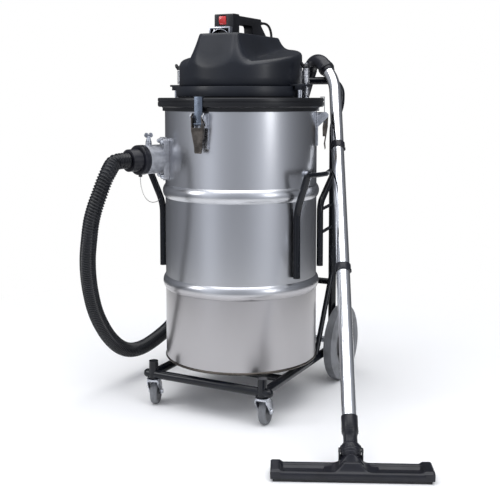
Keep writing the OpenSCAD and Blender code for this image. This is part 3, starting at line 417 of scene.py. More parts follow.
def piece(name, points, faces, paint, body=MACHINE, replaces=(), smooth=True):
    """A new mesh piece that rides on a body."""
    mesh = bpy.data.meshes.new(name)
    mesh.from_pydata([tuple(p) for p in points], [], faces)
    mesh.validate()
    mesh.materials.append(PAINTS[paint])
    obj = bpy.data.objects.new(name, mesh)
    bpy.context.collection.objects.link(obj)
    return dress(obj, body, replaces, smooth)


def dress(obj, body=MACHINE, replaces=(), smooth=True):
    """Puts a piece on its body, and hides the CAD nodes that it stands for."""
    if smooth and obj.type == "MESH":
        for polygon in obj.data.polygons:
            polygon.use_smooth = True
    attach(obj, body)
    if replaces:
        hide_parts(*replaces)
    return obj


def frames_along(path):
    """Two cross directions at each point of a path, carried along it without twisting."""
    count = len(path)
    heading = [(path[min(i + 1, count - 1)] - path[max(i - 1, 0)]).normalized() for i in range(count)]
    side = heading[0].orthogonal().normalized()
    out = []
    for t in heading:
        side = (side - t * side.dot(t)).normalized()
        out.append((side.copy(), t.cross(side)))
    return out


def smooth_path(points, step):
    """Points a step apart on a smooth curve through the given points."""
    fine = []
    ends = [points[0] * 2 - points[1], *points, points[-1] * 2 - points[-2]]
    for a, b, c, d in zip(ends, ends[1:], ends[2:], ends[3:]):
        for i in range(24):
            t = i / 24
            fine.append(0.5 * ((2 * b) + (c - a) * t + (2 * a - 5 * b + 4 * c - d) * t * t
                               + (3 * b - a - 3 * c + d) * t ** 3))
    fine.append(points[-1])
    out, left = [fine[0]], step
    for a, b in zip(fine, fine[1:]):
        gap = (b - a).length
        while gap >= left:
            a = a.lerp(b, left / gap)
            gap -= left
            left = step
            out.append(a)
        left -= gap
    if (out[-1] - fine[-1]).length > step * 0.3:
        out.append(fine[-1])
    else:
        out[-1] = fine[-1]
    return out


def tube_mesh(path, radius, sides):
    """Points and faces of a closed tube. radius(i, angle) is the radius at ring i."""
    points, faces = [], []
    for i, (p, (a, b)) in enumerate(zip(path, frames_along(path))):
        for k in range(sides):
            turn = 2 * math.pi * k / sides
            points.append(p + radius(i, turn) * (math.cos(turn) * a + math.sin(turn) * b))
    for i in range(len(path) - 1):
        for k in range(sides):
            j = (k + 1) % sides
            faces.append((i * sides + k, i * sides + j, (i + 1) * sides + j, (i + 1) * sides + k))
    faces.append(tuple(range(sides - 1, -1, -1)))
    faces.append(tuple(range(len(points) - sides, len(points))))
    return points, faces


# ---------------------------------------------------------------- cords

INLET_AIM, INLET_AT, DRUM_R, INLET_Z = math.radians(-18), math.radians(-50), 0.229, 0.735
AIM = Vector((math.sin(INLET_AIM), -math.cos(INLET_AIM), 0))
INLET = Vector((DRUM_R * math.sin(INLET_AT), -DRUM_R * math.cos(INLET_AT), INLET_Z))
HOSE_EXIT = INLET + 0.139 * AIM
HOSE_START = [HOSE_EXIT, HOSE_EXIT + 0.028 * AIM, HOSE_EXIT + 0.050 * AIM - mm(0, 0, 5)]
HOSE_ROUTE = HOSE_START + [mm(*p) for p in [
    (-232, -353, 709), (-237, -368, 682), (-246, -379, 645), (-258, -384, 609), (-272, -383, 568),
    (-287, -375, 514), (-306, -358, 458), (-325, -332, 400), (-343, -298, 338), (-361, -255, 275),
    (-375, -205, 216), (-385, -150, 162), (-387, -95, 120), (-386, -38, 96), (-381, 22, 91),
    (-376, 85, 101), (-370, 148, 120), (-362, 205, 150), (-348, 262, 193), (-328, 315, 254),
    (-301, 359, 322), (-272, 392, 390), (-238, 416, 456), (-199, 432, 520), (-158, 442, 586),
    (-119, 447, 648), (-84, 449, 710), (-53, 446, 768), (-26, 438, 822), (-3, 426, 870),
    (20.7, 408.4, 920)]]
HOSE_R, RIB_PITCH, RIB_DEPTH, RIB_STEPS, HOSE_SIDES = 0.0235, 0.0084, 0.0038, 7, 26


def make_hose():
    """Hose whose rib runs round it as a screw thread."""
    path = smooth_path(HOSE_ROUTE, RIB_PITCH / RIB_STEPS)

    def radius(i, turn):
        wave = math.cos(2 * math.pi * i / RIB_STEPS + turn)
        return HOSE_R - RIB_DEPTH * (0.5 - 0.5 * wave) ** 1.3
    points, faces = tube_mesh(path, radius, HOSE_SIDES)
    hose = piece("hose_ribbed", points, faces, "hose", replaces=["hose"])


def curve_piece(name, path, radius, paint, replaces):
    data = bpy.data.curves.new(name, "CURVE")
    data.dimensions, data.bevel_depth, data.bevel_resolution = "3D", radius, 4
    data.use_fill_caps = True
    line = data.splines.new("POLY")
    line.points.add(len(path) - 1)
    for spot, p in zip(line.points, path):
        spot.co = (*p, 1)
    data.materials.append(PAINTS[paint])
    obj = bpy.data.objects.new(name, data)
    bpy.context.collection.objects.link(obj)
    line.use_smooth = True
    return dress(obj, MACHINE, replaces)


def make_tether():
    tab = INLET + 0.095 * AIM - mm(0, 0, 49.5)
    steps = [(0, 0, 0), (0, 0, -10), (-1, 5, -30), (-4, 22, -55), (-8, 47, -73), (-13, 77, -83),
             (-18, 109, -85), (-22, 131, -82), (-24.6, 139, -79.5)]
    path = smooth_path([tab + mm(*s) for s in steps], 0.004)
    wire = curve_piece("tether_wire", path, 0.001, "tether", ["hose_tether"])


LEAD_R, CORD_STEP = 0.004, 0.008
COIL, COIL_START, TURN_STEPS = mm(-60, 404, 0), math.radians(-101.7), 24
LAYER_FIRST, LAYER_RISE = 4.3, 6.93
LEAD_ROUTE = [mm(*p) for p in [
    (0, 140, 1147), (0, 158, 1148), (0, 176, 1146), (0, 192, 1139), (0, 203, 1127), (0, 208, 1112),
    (0, 209, 1094), (0, 211, 1066), (0, 218, 1030), (0, 232, 990), (0, 247, 952), (0, 259, 914),
    (0, 264, 872), (-1, 263, 800), (-3, 261, 720), (-5, 260, 640), (-8, 260, 560), (-11, 261, 480),
    (-13, 263, 400), (-15, 266, 340), (-16, 272, 280), (-17, 283, 225), (-19, 298, 175),
    (-23, 315, 132), (-29, 329, 96), (-39, 339, 66), (-54, 344, 46), (-72, 346, 38)]]


def coil_points():
    """Eighteen turns, layer on layer, wound clockwise from the top down."""
    wide, narrow = [60, 68, 76, 84], [80, 72, 64]
    turns = [(r, 4) for r in wide] + [(r, 3) for r in narrow] + [(r, 2) for r in wide] \
        + [(r, 1) for r in narrow] + [(r, 0) for r in wide]
    out = []
    for n, (radius, layer) in enumerate(turns):
        after, below = turns[min(n + 1, len(turns) - 1)]
        for i in range(TURN_STEPS):
            share = max(0.0, (i - TURN_STEPS * 0.8) / (TURN_STEPS * 0.2))
            ease = share * share * (3 - 2 * share)
            r = radius + (after - radius) * ease
            z = LAYER_FIRST + LAYER_RISE * (layer + (below - layer) * ease)
            angle = COIL_START - 2 * math.pi * (n + i / TURN_STEPS)
            if (n, i) > (0, 1):
                out.append(COIL + mm(r * math.cos(angle), r * math.sin(angle), z))
    return out


PLUG = mm(-46, 468, 55.1)


def make_lead():
    coil = coil_points()
    outside = []
    for degrees, r, z in [(-118, 89, 7), (-132, 92.5, 13), (-146, 92.5, 22), (-160, 92, 31),
                          (-174, 89, 39), (-188, 84, 43), (-202, 79, 44), (-216, 75.5, 44),
                          (-228, 73, 46)]:
        angle = math.radians(degrees)
        outside.append(COIL + mm(r * math.cos(angle), r * math.sin(angle), z))
    tail = [PLUG + mm(*p) for p in [(-50, -4, -7), (-38, -1, -3), (-22, 0, 0)]]
    path = smooth_path(LEAD_ROUTE, CORD_STEP) + smooth_path(coil + outside + tail, CORD_STEP)
    lead = curve_piece("mains_lead_line", path, LEAD_R, "lead", ["mains_lead", "lead_coil"])


make_hose()
make_tether()
make_lead()


# ---------------------------------------------------------------- power head

def smooth_step(low, high, value):
    t = min(1.0, max(0.0, (value - low) / (high - low)))
    return t * t * (3 - 2 * t)


def soft_least(a, b, width):
    """The smaller of two heights, rounded where they cross."""
    share = min(1.0, max(0.0, 0.5 + 0.5 * (b - a) / width))
    return b + (a - b) * share - width * share * (1 - share)


COVER_R, COVER_FOOT, COVER_TOP, RIM_ROUND = 184.0, 948.0, 1100.0, 15.0
DECK_HALF, DECK_MIDDLE, DECK_REACH, DECK_ROUND = 64.0, -3.0, 141.0, 13.0
COVER_SIDES, TOP_RINGS, RIM_RINGS, WALL_FLARE, FOOT_INSET = 192, 64, 8, 0.8, 2.5


def rim_height(y):
    """Height of the cover's shoulder, which climbs towards the back."""
    return 1042 + 0.163 * max(-COVER_R, min(160.0, y))


def cover_height(x, y):
    """Height of the cover's top: a raised deck that flares into the shoulder."""
    qx, qy = abs(x) - DECK_HALF + DECK_ROUND, abs(y - DECK_MIDDLE) - DECK_REACH + DECK_ROUND
    nx, ny = max(qx, 0.0), max(qy, 0.0)
    outside = math.hypot(nx, ny) + min(max(qx, qy), 0.0) - DECK_ROUND
    wide_x, wide_y = 30 + 14 * smooth_step(-50, -140, y), 42
    size = math.hypot(nx, ny) or 1.0
    if outside > 0:
        t = min(1.0, outside / math.hypot(nx / size * wide_x, ny / size * wide_y))
    else:
        t = outside / 60
    power = 2.1 - 0.8 * ny / size * smooth_step(0, -60, y)
    shoulder = rim_height(y) - 1.5
    return soft_least(COVER_TOP, shoulder + (COVER_TOP - shoulder) * (1 - t) ** power, 7.0)


def make_cover():
    """Shell of rings from the middle of the deck, over the rounded rim and down the wall."""
    rings = [("top", (i + 1) / TOP_RINGS * (COVER_R - RIM_ROUND)) for i in range(TOP_RINGS)]
    rings += [("rim", math.pi / 2 * (i + 1) / RIM_RINGS) for i in range(RIM_RINGS)]
    rings += [("wall", share) for share in (0.1, 0.55, 0.93, 1.0)]
    points, faces = [mm(0, 0, cover_height(0, 0))], []
    for kind, value in rings:
        for k in range(COVER_SIDES):
            a = 2 * math.pi * k / COVER_SIDES
            c, s = math.cos(a), math.sin(a)
            if kind == "top":
                points.append(mm(value * c, value * s, cover_height(value * c, value * s)))
            elif kind == "rim":
                r = COVER_R - RIM_ROUND + RIM_ROUND * math.sin(value)
                drop = RIM_ROUND * (1 - math.cos(value))
                points.append(mm(r * c, r * s, cover_height(r * c, r * s) - drop))
            else:
                top = cover_height(COVER_R * c, COVER_R * s) - RIM_ROUND
                z = top + (COVER_FOOT - top) * value if value < 1 else COVER_FOOT + 0.3
                r = COVER_R + WALL_FLARE * value if value < 1 else COVER_R - FOOT_INSET
                points.append(mm(r * c, r * s, z))
    for k in range(COVER_SIDES):
        faces.append((0, 1 + k, 1 + (k + 1) % COVER_SIDES))
    for i in range(len(rings) - 1):
        a, b = 1 + i * COVER_SIDES, 1 + (i + 1) * COVER_SIDES
        for k in range(COVER_SIDES):
            j = (k + 1) % COVER_SIDES
            faces.append((a + k, b + k, b + j, a + j))
    piece("head_cover", points, faces, "head", replaces=["motor_cover"])


STUD_X, KNOB_Z = 214, 1000.4
SPRING_R, SPRING_WIRE, SPRING_STEPS = 9, 0.00125, 18


def helix(centre, low, high, turns):
    """(points, faces) of a coil spring between two heights."""
    steps = turns * SPRING_STEPS
    path = []
    for i in range(steps + 1):
        a = 2 * math.pi * i / SPRING_STEPS
        z = low + (high - low) * i / steps
        path.append(centre + mm(SPRING_R * math.cos(a), SPRING_R * math.sin(a), z))
    return tube_mesh(path, lambda i, turn: SPRING_WIRE, 8)


def merged_piece(name, parts, paint, body=MACHINE, replaces=()):
    """One piece from several (points, faces) groups."""
    points, faces = [], []
    for some_points, some_faces in parts:
        base = len(points)
        points += some_points
        faces += [tuple(base + i for i in f) for f in some_faces]
    obj = piece(name, points, faces, paint, body, replaces)
    mesh = bmesh.new()
    mesh.from_mesh(obj.data)
    bmesh.ops.recalc_face_normals(mesh, faces=mesh.faces)
    mesh.to_mesh(obj.data)
    mesh.free()
    return obj


def make_springs():
    parts = []
    for side in (-1, 1):
        centre = mm(STUD_X * side, 0, 0)
        parts.append(helix(centre, 919.4, 944.6, 7))
        parts.append(helix(centre, 956.4, 998.6, 11))
    merged_piece("stud_springs_coils", parts, "spring", replaces=["stud_springs"])


def turned(profile, sides=96):
    """(points, faces) of a closed surface of revolution about Z. profile is (radius, height) in mm."""
    points, faces = [], []
    for r, z in profile:
        for k in range(sides):
            a = 2 * math.pi * k / sides
            points.append(mm(r * math.cos(a), r * math.sin(a), z))
    count = len(profile)
    for i in range(count):
        n = (i + 1) % count
        for k in range(sides):
            j = (k + 1) % sides
            faces.append((i * sides + k, i * sides + j, n * sides + j, n * sides + k))
    return points, faces


def placed(part, matrix):
    """A (points, faces) group moved by a matrix."""
    return [matrix @ p for p in part[0]], part[1]


def slab(outline, low, high):
    """(points, faces) of an (x, z) outline in mm, extruded along Y from low to high."""
    count = len(outline)
    points = [mm(x, low, z) for x, z in outline] + [mm(x, high, z) for x, z in outline]
    faces = [tuple(range(count)), tuple(range(2 * count - 1, count - 1, -1))]
    for i in range(count):
        j = (i + 1) % count
        faces.append((i, count + i, count + j, j))
    return points, faces


def rounded(obj, width, segments=2, angle=35):
    """Rounds an object's sharp edges, and applies it."""
    bevel = obj.modifiers.new("edges", "BEVEL")
    bevel.width, bevel.segments, bevel.limit_method = width, segments, "ANGLE"
    bevel.angle_limit = math.radians(angle)
    bevel.use_clamp_overlap = True
    return apply_modifiers(obj)


def apply_modifiers(obj):
    depsgraph = bpy.context.evaluated_depsgraph_get()
    mesh = bpy.data.meshes.new_from_object(obj.evaluated_get(depsgraph))
    obj.modifiers.clear()
    obj.data = mesh
    return obj


def shade_by_angle(obj, degrees=38):
    """Smooth shading, with edges sharper than an angle kept crisp."""
    mesh = bmesh.new()
    mesh.from_mesh(obj.data)
    for face in mesh.faces:
        face.smooth = True
    for edge in mesh.edges:
        edge.smooth = not (len(edge.link_faces) == 2 and edge.calc_face_angle(0) > math.radians(degrees))
    mesh.to_mesh(obj.data)
    mesh.free()
    return obj


def softened(node, width, paint, segments=2):
    """A copy of a CAD node with its sharp edges rounded, which replaces it."""
    source = NODES[node]
    mesh = bmesh.new()
    mesh.from_mesh(source.data)
    bmesh.ops.remove_doubles(mesh, verts=mesh.verts, dist=1e-6)
    bmesh.ops.dissolve_limit(mesh, angle_limit=math.radians(0.6), verts=mesh.verts, edges=mesh.edges)
    data = bpy.data.meshes.new(node + "_finished")
    mesh.to_mesh(data)
    mesh.free()
    data.materials.clear()
    data.materials.append(PAINTS[paint])
    obj = bpy.data.objects.new(node + "_finished", data)
    bpy.context.collection.objects.link(obj)
    rounded(obj, width, segments, 34)
    shade_by_angle(obj)
    return dress(obj, NODES[node]["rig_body"], [node], smooth=False)


def make_wing_knobs():
    half = [(5, 2), (9, 1.5), (13, 4), (17, 9), (18.5, 15), (17, 19), (13.5, 19.5), (11, 16), (8, 12),
            (4, 11)]
    wing = half + [(-x, z) for x, z in reversed(half)]
    for name, side in (("right", 1), ("left", -1)):
        hub = turned([(4.2, 0), (11, 0), (11.5, 1), (8.5, 10), (6, 13), (4.2, 13.4)], 40)
        seat = Matrix.Translation(mm(STUD_X * side, 0, KNOB_Z))
        parts = [placed(part, seat) for part in (hub, slab(wing, -3.2, 3.2))]
        obj = merged_piece("wing_knob_" + name, parts, "knob", "knob_" + name,
                           ["stud_knob_" + name])
        rounded(obj, 0.0013, 3)
        shade_by_angle(obj)


# ---------------------------------------------------------------- running gear

def about_x(centre, turn=0.0):
    """Placement of a turned part, so that its axis lies along X turned about Z by turn degrees."""
    return (Matrix.Translation(centre) @ Matrix.Rotation(math.radians(turn), 4, "Z")
            @ Matrix.Rotation(math.radians(90), 4, "Y"))


def tread(outer, half, ribs, depth):
    """Profile across a ribbed tread, as (radius, height) from -half to half."""
    out, pitch = [], 2 * half / ribs
    for i in range(ribs):
        low = -half + i * pitch
        for sunk, share in ((1, 0.06), (0.25, 0.16), (0, 0.28), (0, 0.72), (0.25, 0.84), (1, 0.94)):
            out.append((outer - sunk * depth, low + share * pitch))
    return out


def mirrored(half, middle=()):
    """A profile with the same shape on both faces, as (radius, height)."""
    return half + list(middle) + [(r, -z) for r, z in reversed(half)]


REAR_WHEEL_X, REAR_CAP_X, REAR_AXLE_Y, REAR_AXLE_Z = 216.5, 235.1, 288, 120


def make_rear_wheels():
    tyre = mirrored([(75, -14), (77, -16.6), (84, -17.6), (100, -18), (109, -17.4), (114.5, -15)],
                    tread(119.8, 13.6, 6, 2.6))
    hub = mirrored([(10.2, -19), (23, -19), (25, -17.5), (28, -10.5), (36, -8), (62, -8), (68, -10.5),
                    (71, -15), (75.4, -15.4)])
    cap = [(0.01, 9.6), (10, 9.3), (17, 8), (21.5, 5.2), (24, 1), (24, -3.4), (11.4, -3.4), (11.4, 5),
           (0.01, 5)]
    rib = slab([(22, -3), (70, -2.2), (70, 2.2), (22, 3)], -15, 15)
    for name, side in (("right", 1), ("left", -1)):
        body = "wheel_" + name
        place = about_x(mm(REAR_WHEEL_X * side, REAR_AXLE_Y, REAR_AXLE_Z))
        obj = merged_piece("rear_tyre_" + name, [placed(turned(tyre, 128), place)], "tyre",
                           body, ["rear_wheel_" + name])
        shade_by_angle(obj, 50)
        obj = merged_piece("rear_hub_" + name, [placed(turned(hub, 96), place)], "hub", body)
        shade_by_angle(obj, 50)
        web = []
        for k in range(6):
            spoke = Matrix.Rotation(math.radians(60 * k), 4, "Z")
            web.append(placed(rib, place @ spoke @ Matrix.Rotation(math.radians(90), 4, "X")))
        obj = merged_piece("rear_spokes_" + name, web, "hub", body)
        rounded(obj, 0.0009, 2)
        shade_by_angle(obj)
        face = about_x(mm(REAR_CAP_X * side, REAR_AXLE_Y, REAR_AXLE_Z)) \
            @ Matrix.Rotation(0 if side > 0 else math.pi, 4, "X")
        obj = merged_piece("axle_cap_" + name, [placed(turned(cap, 64), face)], "hub", body)
        shade_by_angle(obj, 50)


STEM_X, STEM_Y, TRAIL, CASTOR_AXLE_Z = 180.5, -214, 26, 37.5


def make_castor_wheels():
    tyre = mirrored([(26.5, -8.5), (28, -10), (31.5, -10.9), (34.6, -10), (36.6, -7.6)],
                    tread(37.4, 6.2, 3, 0.7))
    hub = mirrored([(4.15, -14.2), (8.4, -14.2), (9, -13.6), (9.6, -9.4), (12, -8.6), (22, -8.2),
                    (26.8, -9.4)])
    for name, side, turn in (("right", 1, 6), ("left", -1, 19)):
        a = math.radians(turn)
        centre = mm(STEM_X * side - TRAIL * math.sin(a), STEM_Y + TRAIL * math.cos(a), CASTOR_AXLE_Z)
        place, body = about_x(centre, turn), "castor_" + name
        obj = merged_piece("castor_tyre_" + name, [placed(turned(tyre, 96), place)], "tyre",
                           body, ["castor_wheel_" + name])
        shade_by_angle(obj, 50)
        obj = merged_piece("castor_hub_" + name, [placed(turned(hub, 64), place)], "disc",
                           body)
        shade_by_angle(obj, 50)


# ---------------------------------------------------------------- floor tool

WAND_FOOT, WAND_REST = Vector((499, -367, 75)), Vector((178, 312, 971))
WAND_DIR = (WAND_REST - WAND_FOOT).normalized()
PIVOT_DROP, TOOL_TURN = 25, 25
PIVOT = WAND_FOOT - PIVOT_DROP * WAND_DIR
TOOL = Matrix.Translation(mm(PIVOT.x, PIVOT.y, 0)) @ Matrix.Rotation(math.radians(TOOL_TURN), 4, "Z")
ON_WAND = Matrix.Translation(mm(*PIVOT)) @ WAND_DIR.to_track_quat("Z", "Y").to_matrix().to_4x4()
TOOL_HALF, TOOL_FRONT, TOOL_BACK, BALL_R = 196.0, -60.0, 9.0, 26.0
END_WALL, SIDE_WALL, UNDERSIDE, MOUTH_ROOF = 6, 9.5, 7.0, 14.0


def along(outline, value):
    """Height at a value on an outline of (value, height) points, eased between them."""
    for (a, za), (b, zb) in zip(outline, outline[1:]):
        if value <= b:
            return za + (zb - za) * smooth_step(a, b, value)
    return outline[-1][1]


TOOL_RIDGES = [(-60, 20.5), (-57.5, 24), (-53.5, 25.2), (-49, 23.6), (-43, 18.4), (-19, 17.8), (-10, 23.2),
               (-4, 25.8), (1, 25.6), (6, 23.4), (9, 19)]


def tool_height(x, y):
    """Height of the tool's top: a tray between a front lip and a back ridge, raised ends and a bell."""
    base = along(TOOL_RIDGES, y)
    end = smooth_step(164, 175, abs(x))
    crown = 30 - 5 * smooth_step(-53, -60, y) - 5 * smooth_step(3, 9, y)
    base += (crown - base) * end
    if abs(x) < 66:
        flare = 22 + 36 * max(0.0, (56 - abs(x)) / 47) ** 2.0
        if y < -40:
            slope = 20 + 1.18 * (y + 59) + 0.022 * (y + 59) ** 2
        else:
            slope = 50 - 29 * smooth_step(-18, 9, y)
        bell = soft_least(min(flare, 44), slope, 4.0)
        base = -soft_least(-base, -bell, 3.0)
    return base


def make_tool():
    """Body of the tool: a height field on top, and rings down its sides and under its walls."""
    columns = [-TOOL_HALF + 2 * TOOL_HALF * i / 196 for i in range(197)]
    rows = [TOOL_FRONT + (TOOL_BACK - TOOL_FRONT) * i / 60 for i in range(61)]
    points, faces = [], []
    for x in columns:
        pinch = smooth_step(TOOL_HALF - 4, TOOL_HALF, abs(x)) * 2.5
        for y in rows:
            points.append(TOOL @ mm(x, y, tool_height(x, y) - pinch))
    wide, deep = len(columns), len(rows)
    for i in range(wide - 1):
        for j in range(deep - 1):
            faces.append((i * deep + j, (i + 1) * deep + j, (i + 1) * deep + j + 1, i * deep + j + 1))
    rim = [i * deep for i in range(wide)] + [(wide - 1) * deep + j for j in range(1, deep)] \
        + [i * deep + deep - 1 for i in range(wide - 2, -1, -1)] + list(range(deep - 2, 0, -1))
    spots = [(columns[i // deep], rows[i % deep]) for i in rim]
    last = rim
    # (height, how far the ends are drawn in, how far the long sides are drawn in)
    for height, end, side in ((MOUTH_ROOF, 0, 0), (8.2, 0.4, 0.4), (7.2, 1.6, 1.6), (UNDERSIDE, 2.6, 2.6),
                              (UNDERSIDE, END_WALL, SIDE_WALL), (MOUTH_ROOF, END_WALL, SIDE_WALL)):
        ring = []
        for x, y in spots:
            px = max(-TOOL_HALF + end, min(TOOL_HALF - end, x))
            py = max(TOOL_FRONT + side, min(TOOL_BACK - side, y))
            ring.append(len(points))
            points.append(TOOL @ mm(px, py, height))
        for k in range(len(ring)):
            n = (k + 1) % len(ring)
            faces.append((last[k], ring[k], ring[n], last[n]))
        last = ring
    faces.append(tuple(reversed(last)))
    obj = piece("floor_tool_body", points, faces, "fitting", "floor_tool", ["tool_body"])
    shade_by_angle(obj, 62)


BELL_FOOT, CUP_R, CUP_EDGE = 34, 30, 12


def make_bell():
    """Shield in front of the ball."""
    base, levels, across = PIVOT.z, 18, 20
    outer, inner = [], []
    for i in range(levels + 1):
        t = i / levels
        z = BELL_FOOT + (base + 4.5 - BELL_FOOT) * t
        half = 29 * (1 - t) ** 1.15 + 8.5 * (1 - t ** 7) ** 0.5 * t ** 0.5 + 0.2
        reach = 31.2 + 15.5 * (1 - t) ** 1.7
        for k in range(across + 1):
            x = half * math.sin(math.pi / 2 * (2 * k / across - 1))
            y = -math.sqrt(reach * reach - x * x)
            edge = abs(2 * k / across - 1) ** 4 * 1.6 + t ** 9 * 1.4
            outer.append(TOOL @ mm(x, y + edge, z))
            floor_r = math.sqrt(max(1.0, (BALL_R + 0.6) ** 2 - (z - base) ** 2))
            hollow = math.sqrt(max(0.0, floor_r ** 2 - min(floor_r, abs(x)) ** 2))
            inner.append(TOOL @ mm(x * 0.99, -hollow - 0.1, z))
    row, count = across + 1, (levels + 1) * (across + 1)
    faces = []
    for i in range(levels):
        for k in range(across):
            a = i * row + k
            b = count + a
            faces += [(a, a + 1, a + row + 1, a + row), (b + row, b + row + 1, b + 1, b)]
    border = list(range(row)) + [i * row + across for i in range(1, levels + 1)] \
        + [levels * row + k for k in range(across - 1, -1, -1)] \
        + [i * row for i in range(levels - 1, 0, -1)]
    for k in range(len(border)):
        n = border[(k + 1) % len(border)]
        faces.append((border[k], count + border[k], count + n, n))
    obj = piece("floor_tool_bell", outer + inner, faces, "fitting", "floor_tool")
    shade_by_angle(obj, 50)


def at_depth(radius, depth):
    """Radius of a sphere's section at a depth below its middle."""
    return math.sqrt(radius ** 2 - depth ** 2)


def make_cup():
    """Cup under the ball, with an ear and a pin head on each side."""
    base, seat, ear_r = PIVOT.z, BALL_R + 0.2, 7.5
    cup = [(at_depth(CUP_R, d), base - d) for d in (27, 24, 20, 16, CUP_EDGE + 1)] \
        + [(at_depth(CUP_R, CUP_EDGE) - 0.8, base - CUP_EDGE)] \
        + [(at_depth(seat, CUP_EDGE) + 0.6, base - CUP_EDGE)] \
        + [(at_depth(seat, d), base - d) for d in (CUP_EDGE + 1, 17, 21, 23.5)]
    tab = [(-12, 18), (-8.4, base - 9), (-ear_r, base)]
    for degrees in range(15, 180, 15):
        a = math.radians(degrees)
        tab.append((-ear_r * math.cos(a), base + ear_r * math.sin(a)))
    tab += [(ear_r, base), (7.8, base - 9), (8, 18)]
    head = turned([(0.01, 0), (5.2, 0), (5.2, 0.5), (4.2, 1.1), (0.01, 1.2)], 32)
    quarter, tip = Matrix.Rotation(math.radians(90), 4, "Z"), Matrix.Rotation(math.radians(90), 4, "Y")
    parts = [placed(turned(cup, 72), TOOL)]
    for side in (-1, 1):
        low = 26.6 if side > 0 else -30
        parts.append(placed(slab(tab, -low - 3.4, -low), TOOL @ quarter))
        spot = Matrix.Translation(mm(side * 29.6, 0, base))
        parts.append(placed(head, TOOL @ spot @ (tip if side > 0 else tip.inverted())))
    obj = merged_piece("floor_tool_cup", parts, "fitting", "floor_tool")
    rounded(obj, 0.0007, 2)
    shade_by_angle(obj, 45)


def make_neck():
    """Ball with a ridged collar, a waist and the sleeve that takes the wand."""
    ball = []
    for i in range(29):
        s = -24.5 + 43.5 * i / 28
        groove = 0.9 if i in (12, 17, 22) else 0.0
        ball.append((math.sqrt(BALL_R ** 2 - s * s) - groove, s))
    sleeve = [(17.8, 19.6), (17.6, 24), (17.6, 33), (18.2, 38), (20.2, 41.6), (20.8, 43), (20.8, 84.8),
              (20.2, 86.2), (19.3, 86.4), (19.05, 71), (14.5, 70.8)]
    profile = [(14.5, -20.5)] + ball + sleeve
    parts = [placed(turned(profile, 96), ON_WAND)]
    ridge = slab([(0, -1.1), (2.2, -0.8), (2.2, 0.8), (0, 1.1)], -3.6, 3.6)
    for k in range(22):
        turn = Matrix.Rotation(2 * math.pi * k / 22, 4, "Z")
        tip = Matrix.Translation(mm(24.2, 0, 7.5)) @ Matrix.Rotation(math.radians(-17), 4, "Y")
        lay = tip @ Matrix.Rotation(math.radians(90), 4, "X")
        parts.append(placed(ridge, ON_WAND @ turn @ lay))
    for at in (46.5, 50.5, 54.5):
        band = turned([(20.6, at), (21.4, at + 0.5), (21.4, at + 1.5), (20.6, at + 2)], 96)
        parts.append(placed(band, ON_WAND))
    obj = merged_piece("neck_swivel", parts, "fitting", MACHINE, ["tool_neck"])
    rounded(obj, 0.0003, 2, 40)
    shade_by_angle(obj, 40)


# ---------------------------------------------------------------- lid, latches and guides

def make_lid_ring():
    profile = [(150, 903), (150, 915), (245, 915), (248.2, 914.3), (249.8, 912), (250, 909.5),
               (250, 905.6), (248.6, 904.6), (248.6, 902.4), (250, 901.4), (250, 893), (249, 889.8),
               (246, 888), (238.4, 887.4), (236.4, 885.8), (236, 883), (236, 876.6), (235.4, 876),
               (233, 876), (232.5, 890.2), (222, 890.2), (222, 903)]
    obj = merged_piece("lid_clamp_ring", [turned(profile, 256)], "ring", MACHINE,
                       ["lid_ring"])
    shade_by_angle(obj, 32)


def around_drum(radius, at, z):
    """Point at a radius and a height, at degrees round the drum from the front towards the right."""
    return mm(radius * math.sin(math.radians(at)), -radius * math.cos(math.radians(at)), z)


def corner_path(points, radius):
    """A path through points whose inner corners are rounded."""
    out = [points[0]]
    for before, here, after in zip(points, points[1:], points[2:]):
        a = here + (before - here).normalized() * radius
        b = here + (after - here).normalized() * radius
        for i in range(9):
            t = i / 8
            out.append(a.lerp(here, t).lerp(here.lerp(b, t), t))
    return out + [points[-1]]


GUIDE_R, GUIDE_FOOT, GUIDE_KNEE, KNEE_ROUND = 242, 400, 592, 0.03
HOOP_R, HOOP_Z, HOOP_SWEEP, FRONT_AT, REAR_AT = 284, 697, 19, 69, 120


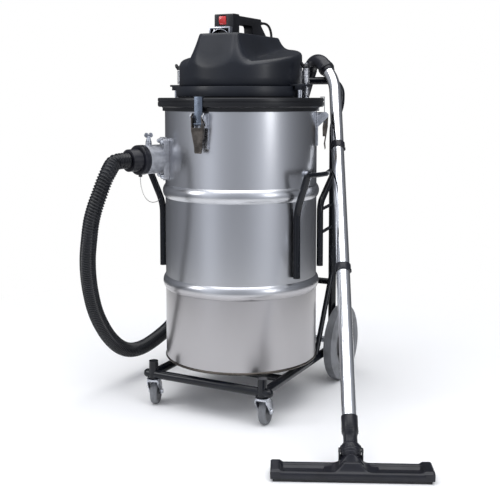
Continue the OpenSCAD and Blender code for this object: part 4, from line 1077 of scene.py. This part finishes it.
def make_guides():
    """The hoop's two halves, the four hanging guide bars and the stays of the rear ones."""
    hoop = [around_drum(HOOP_R, FRONT_AT + i * HOOP_SWEEP / 8, HOOP_Z) for i in range(9)]
    hoop.append(mm(180, 286, 683))
    front = [around_drum(GUIDE_R, FRONT_AT, GUIDE_FOOT), around_drum(GUIDE_R, FRONT_AT, GUIDE_KNEE),
             around_drum(HOOP_R, FRONT_AT, HOOP_Z)]
    rear = [around_drum(GUIDE_R, REAR_AT, GUIDE_FOOT), around_drum(GUIDE_R, REAR_AT, GUIDE_KNEE),
            mm(184, 288, 667)]
    rods = [(hoop, 7), (corner_path(front, KNEE_ROUND), 10), (corner_path(rear, KNEE_ROUND), 10)]
    rods += [([around_drum(GUIDE_R, REAR_AT, z), mm(184, 288, z)], 5) for z in (500, 572)]
    parts = []
    for side in (-1, 1):
        for path, radius in rods:
            path = [Vector((v.x * side, v.y, v.z)) for v in path]
            parts.append(tube_mesh(path, lambda i, turn, r=radius: r / 1000, 24))
    obj = merged_piece("guide_rods", parts, "paint", MACHINE, ["guide_hoops", "guide_bars"])
    shade_by_angle(obj, 50)


def soften_nodes():
    """Rounded edges on the CAD nodes that have sharp ones."""
    for place in ("front", "right", "left"):
        softened("latch_base_" + place, 0.0008, "zinc")
        softened("latch_lever_" + place, 0.0009, "bronze")
        softened("latch_strap_" + place, 0.0006, "strap")
    softened("head_base", 0.0016, "head")
    softened("stud_lugs", 0.0014, "head")
    softened("carry_handle", 0.0022, "box", 3)
    softened("rocker", 0.0009, "red", 3)
    softened("front_bracket", 0.0007, "zinc")
    softened("inlet_casting", 0.0012, "cast")
    softened("inlet_wing_screw", 0.0006, "zinc")
    softened("hose_ring", 0.0012, "fitting")
    softened("hose_cuff", 0.0012, "fitting")
    softened("wand_collars", 0.0009, "fitting")
    softened("wand_cuff", 0.0012, "fitting")
    for place in ("right", "left"):
        softened("castor_fork_" + place, 0.0006, "zinc")


make_cover()
make_springs()
make_wing_knobs()
make_rear_wheels()
make_castor_wheels()
make_tool()
make_bell()
make_cup()
make_neck()
make_lid_ring()
make_guides()
soften_nodes()
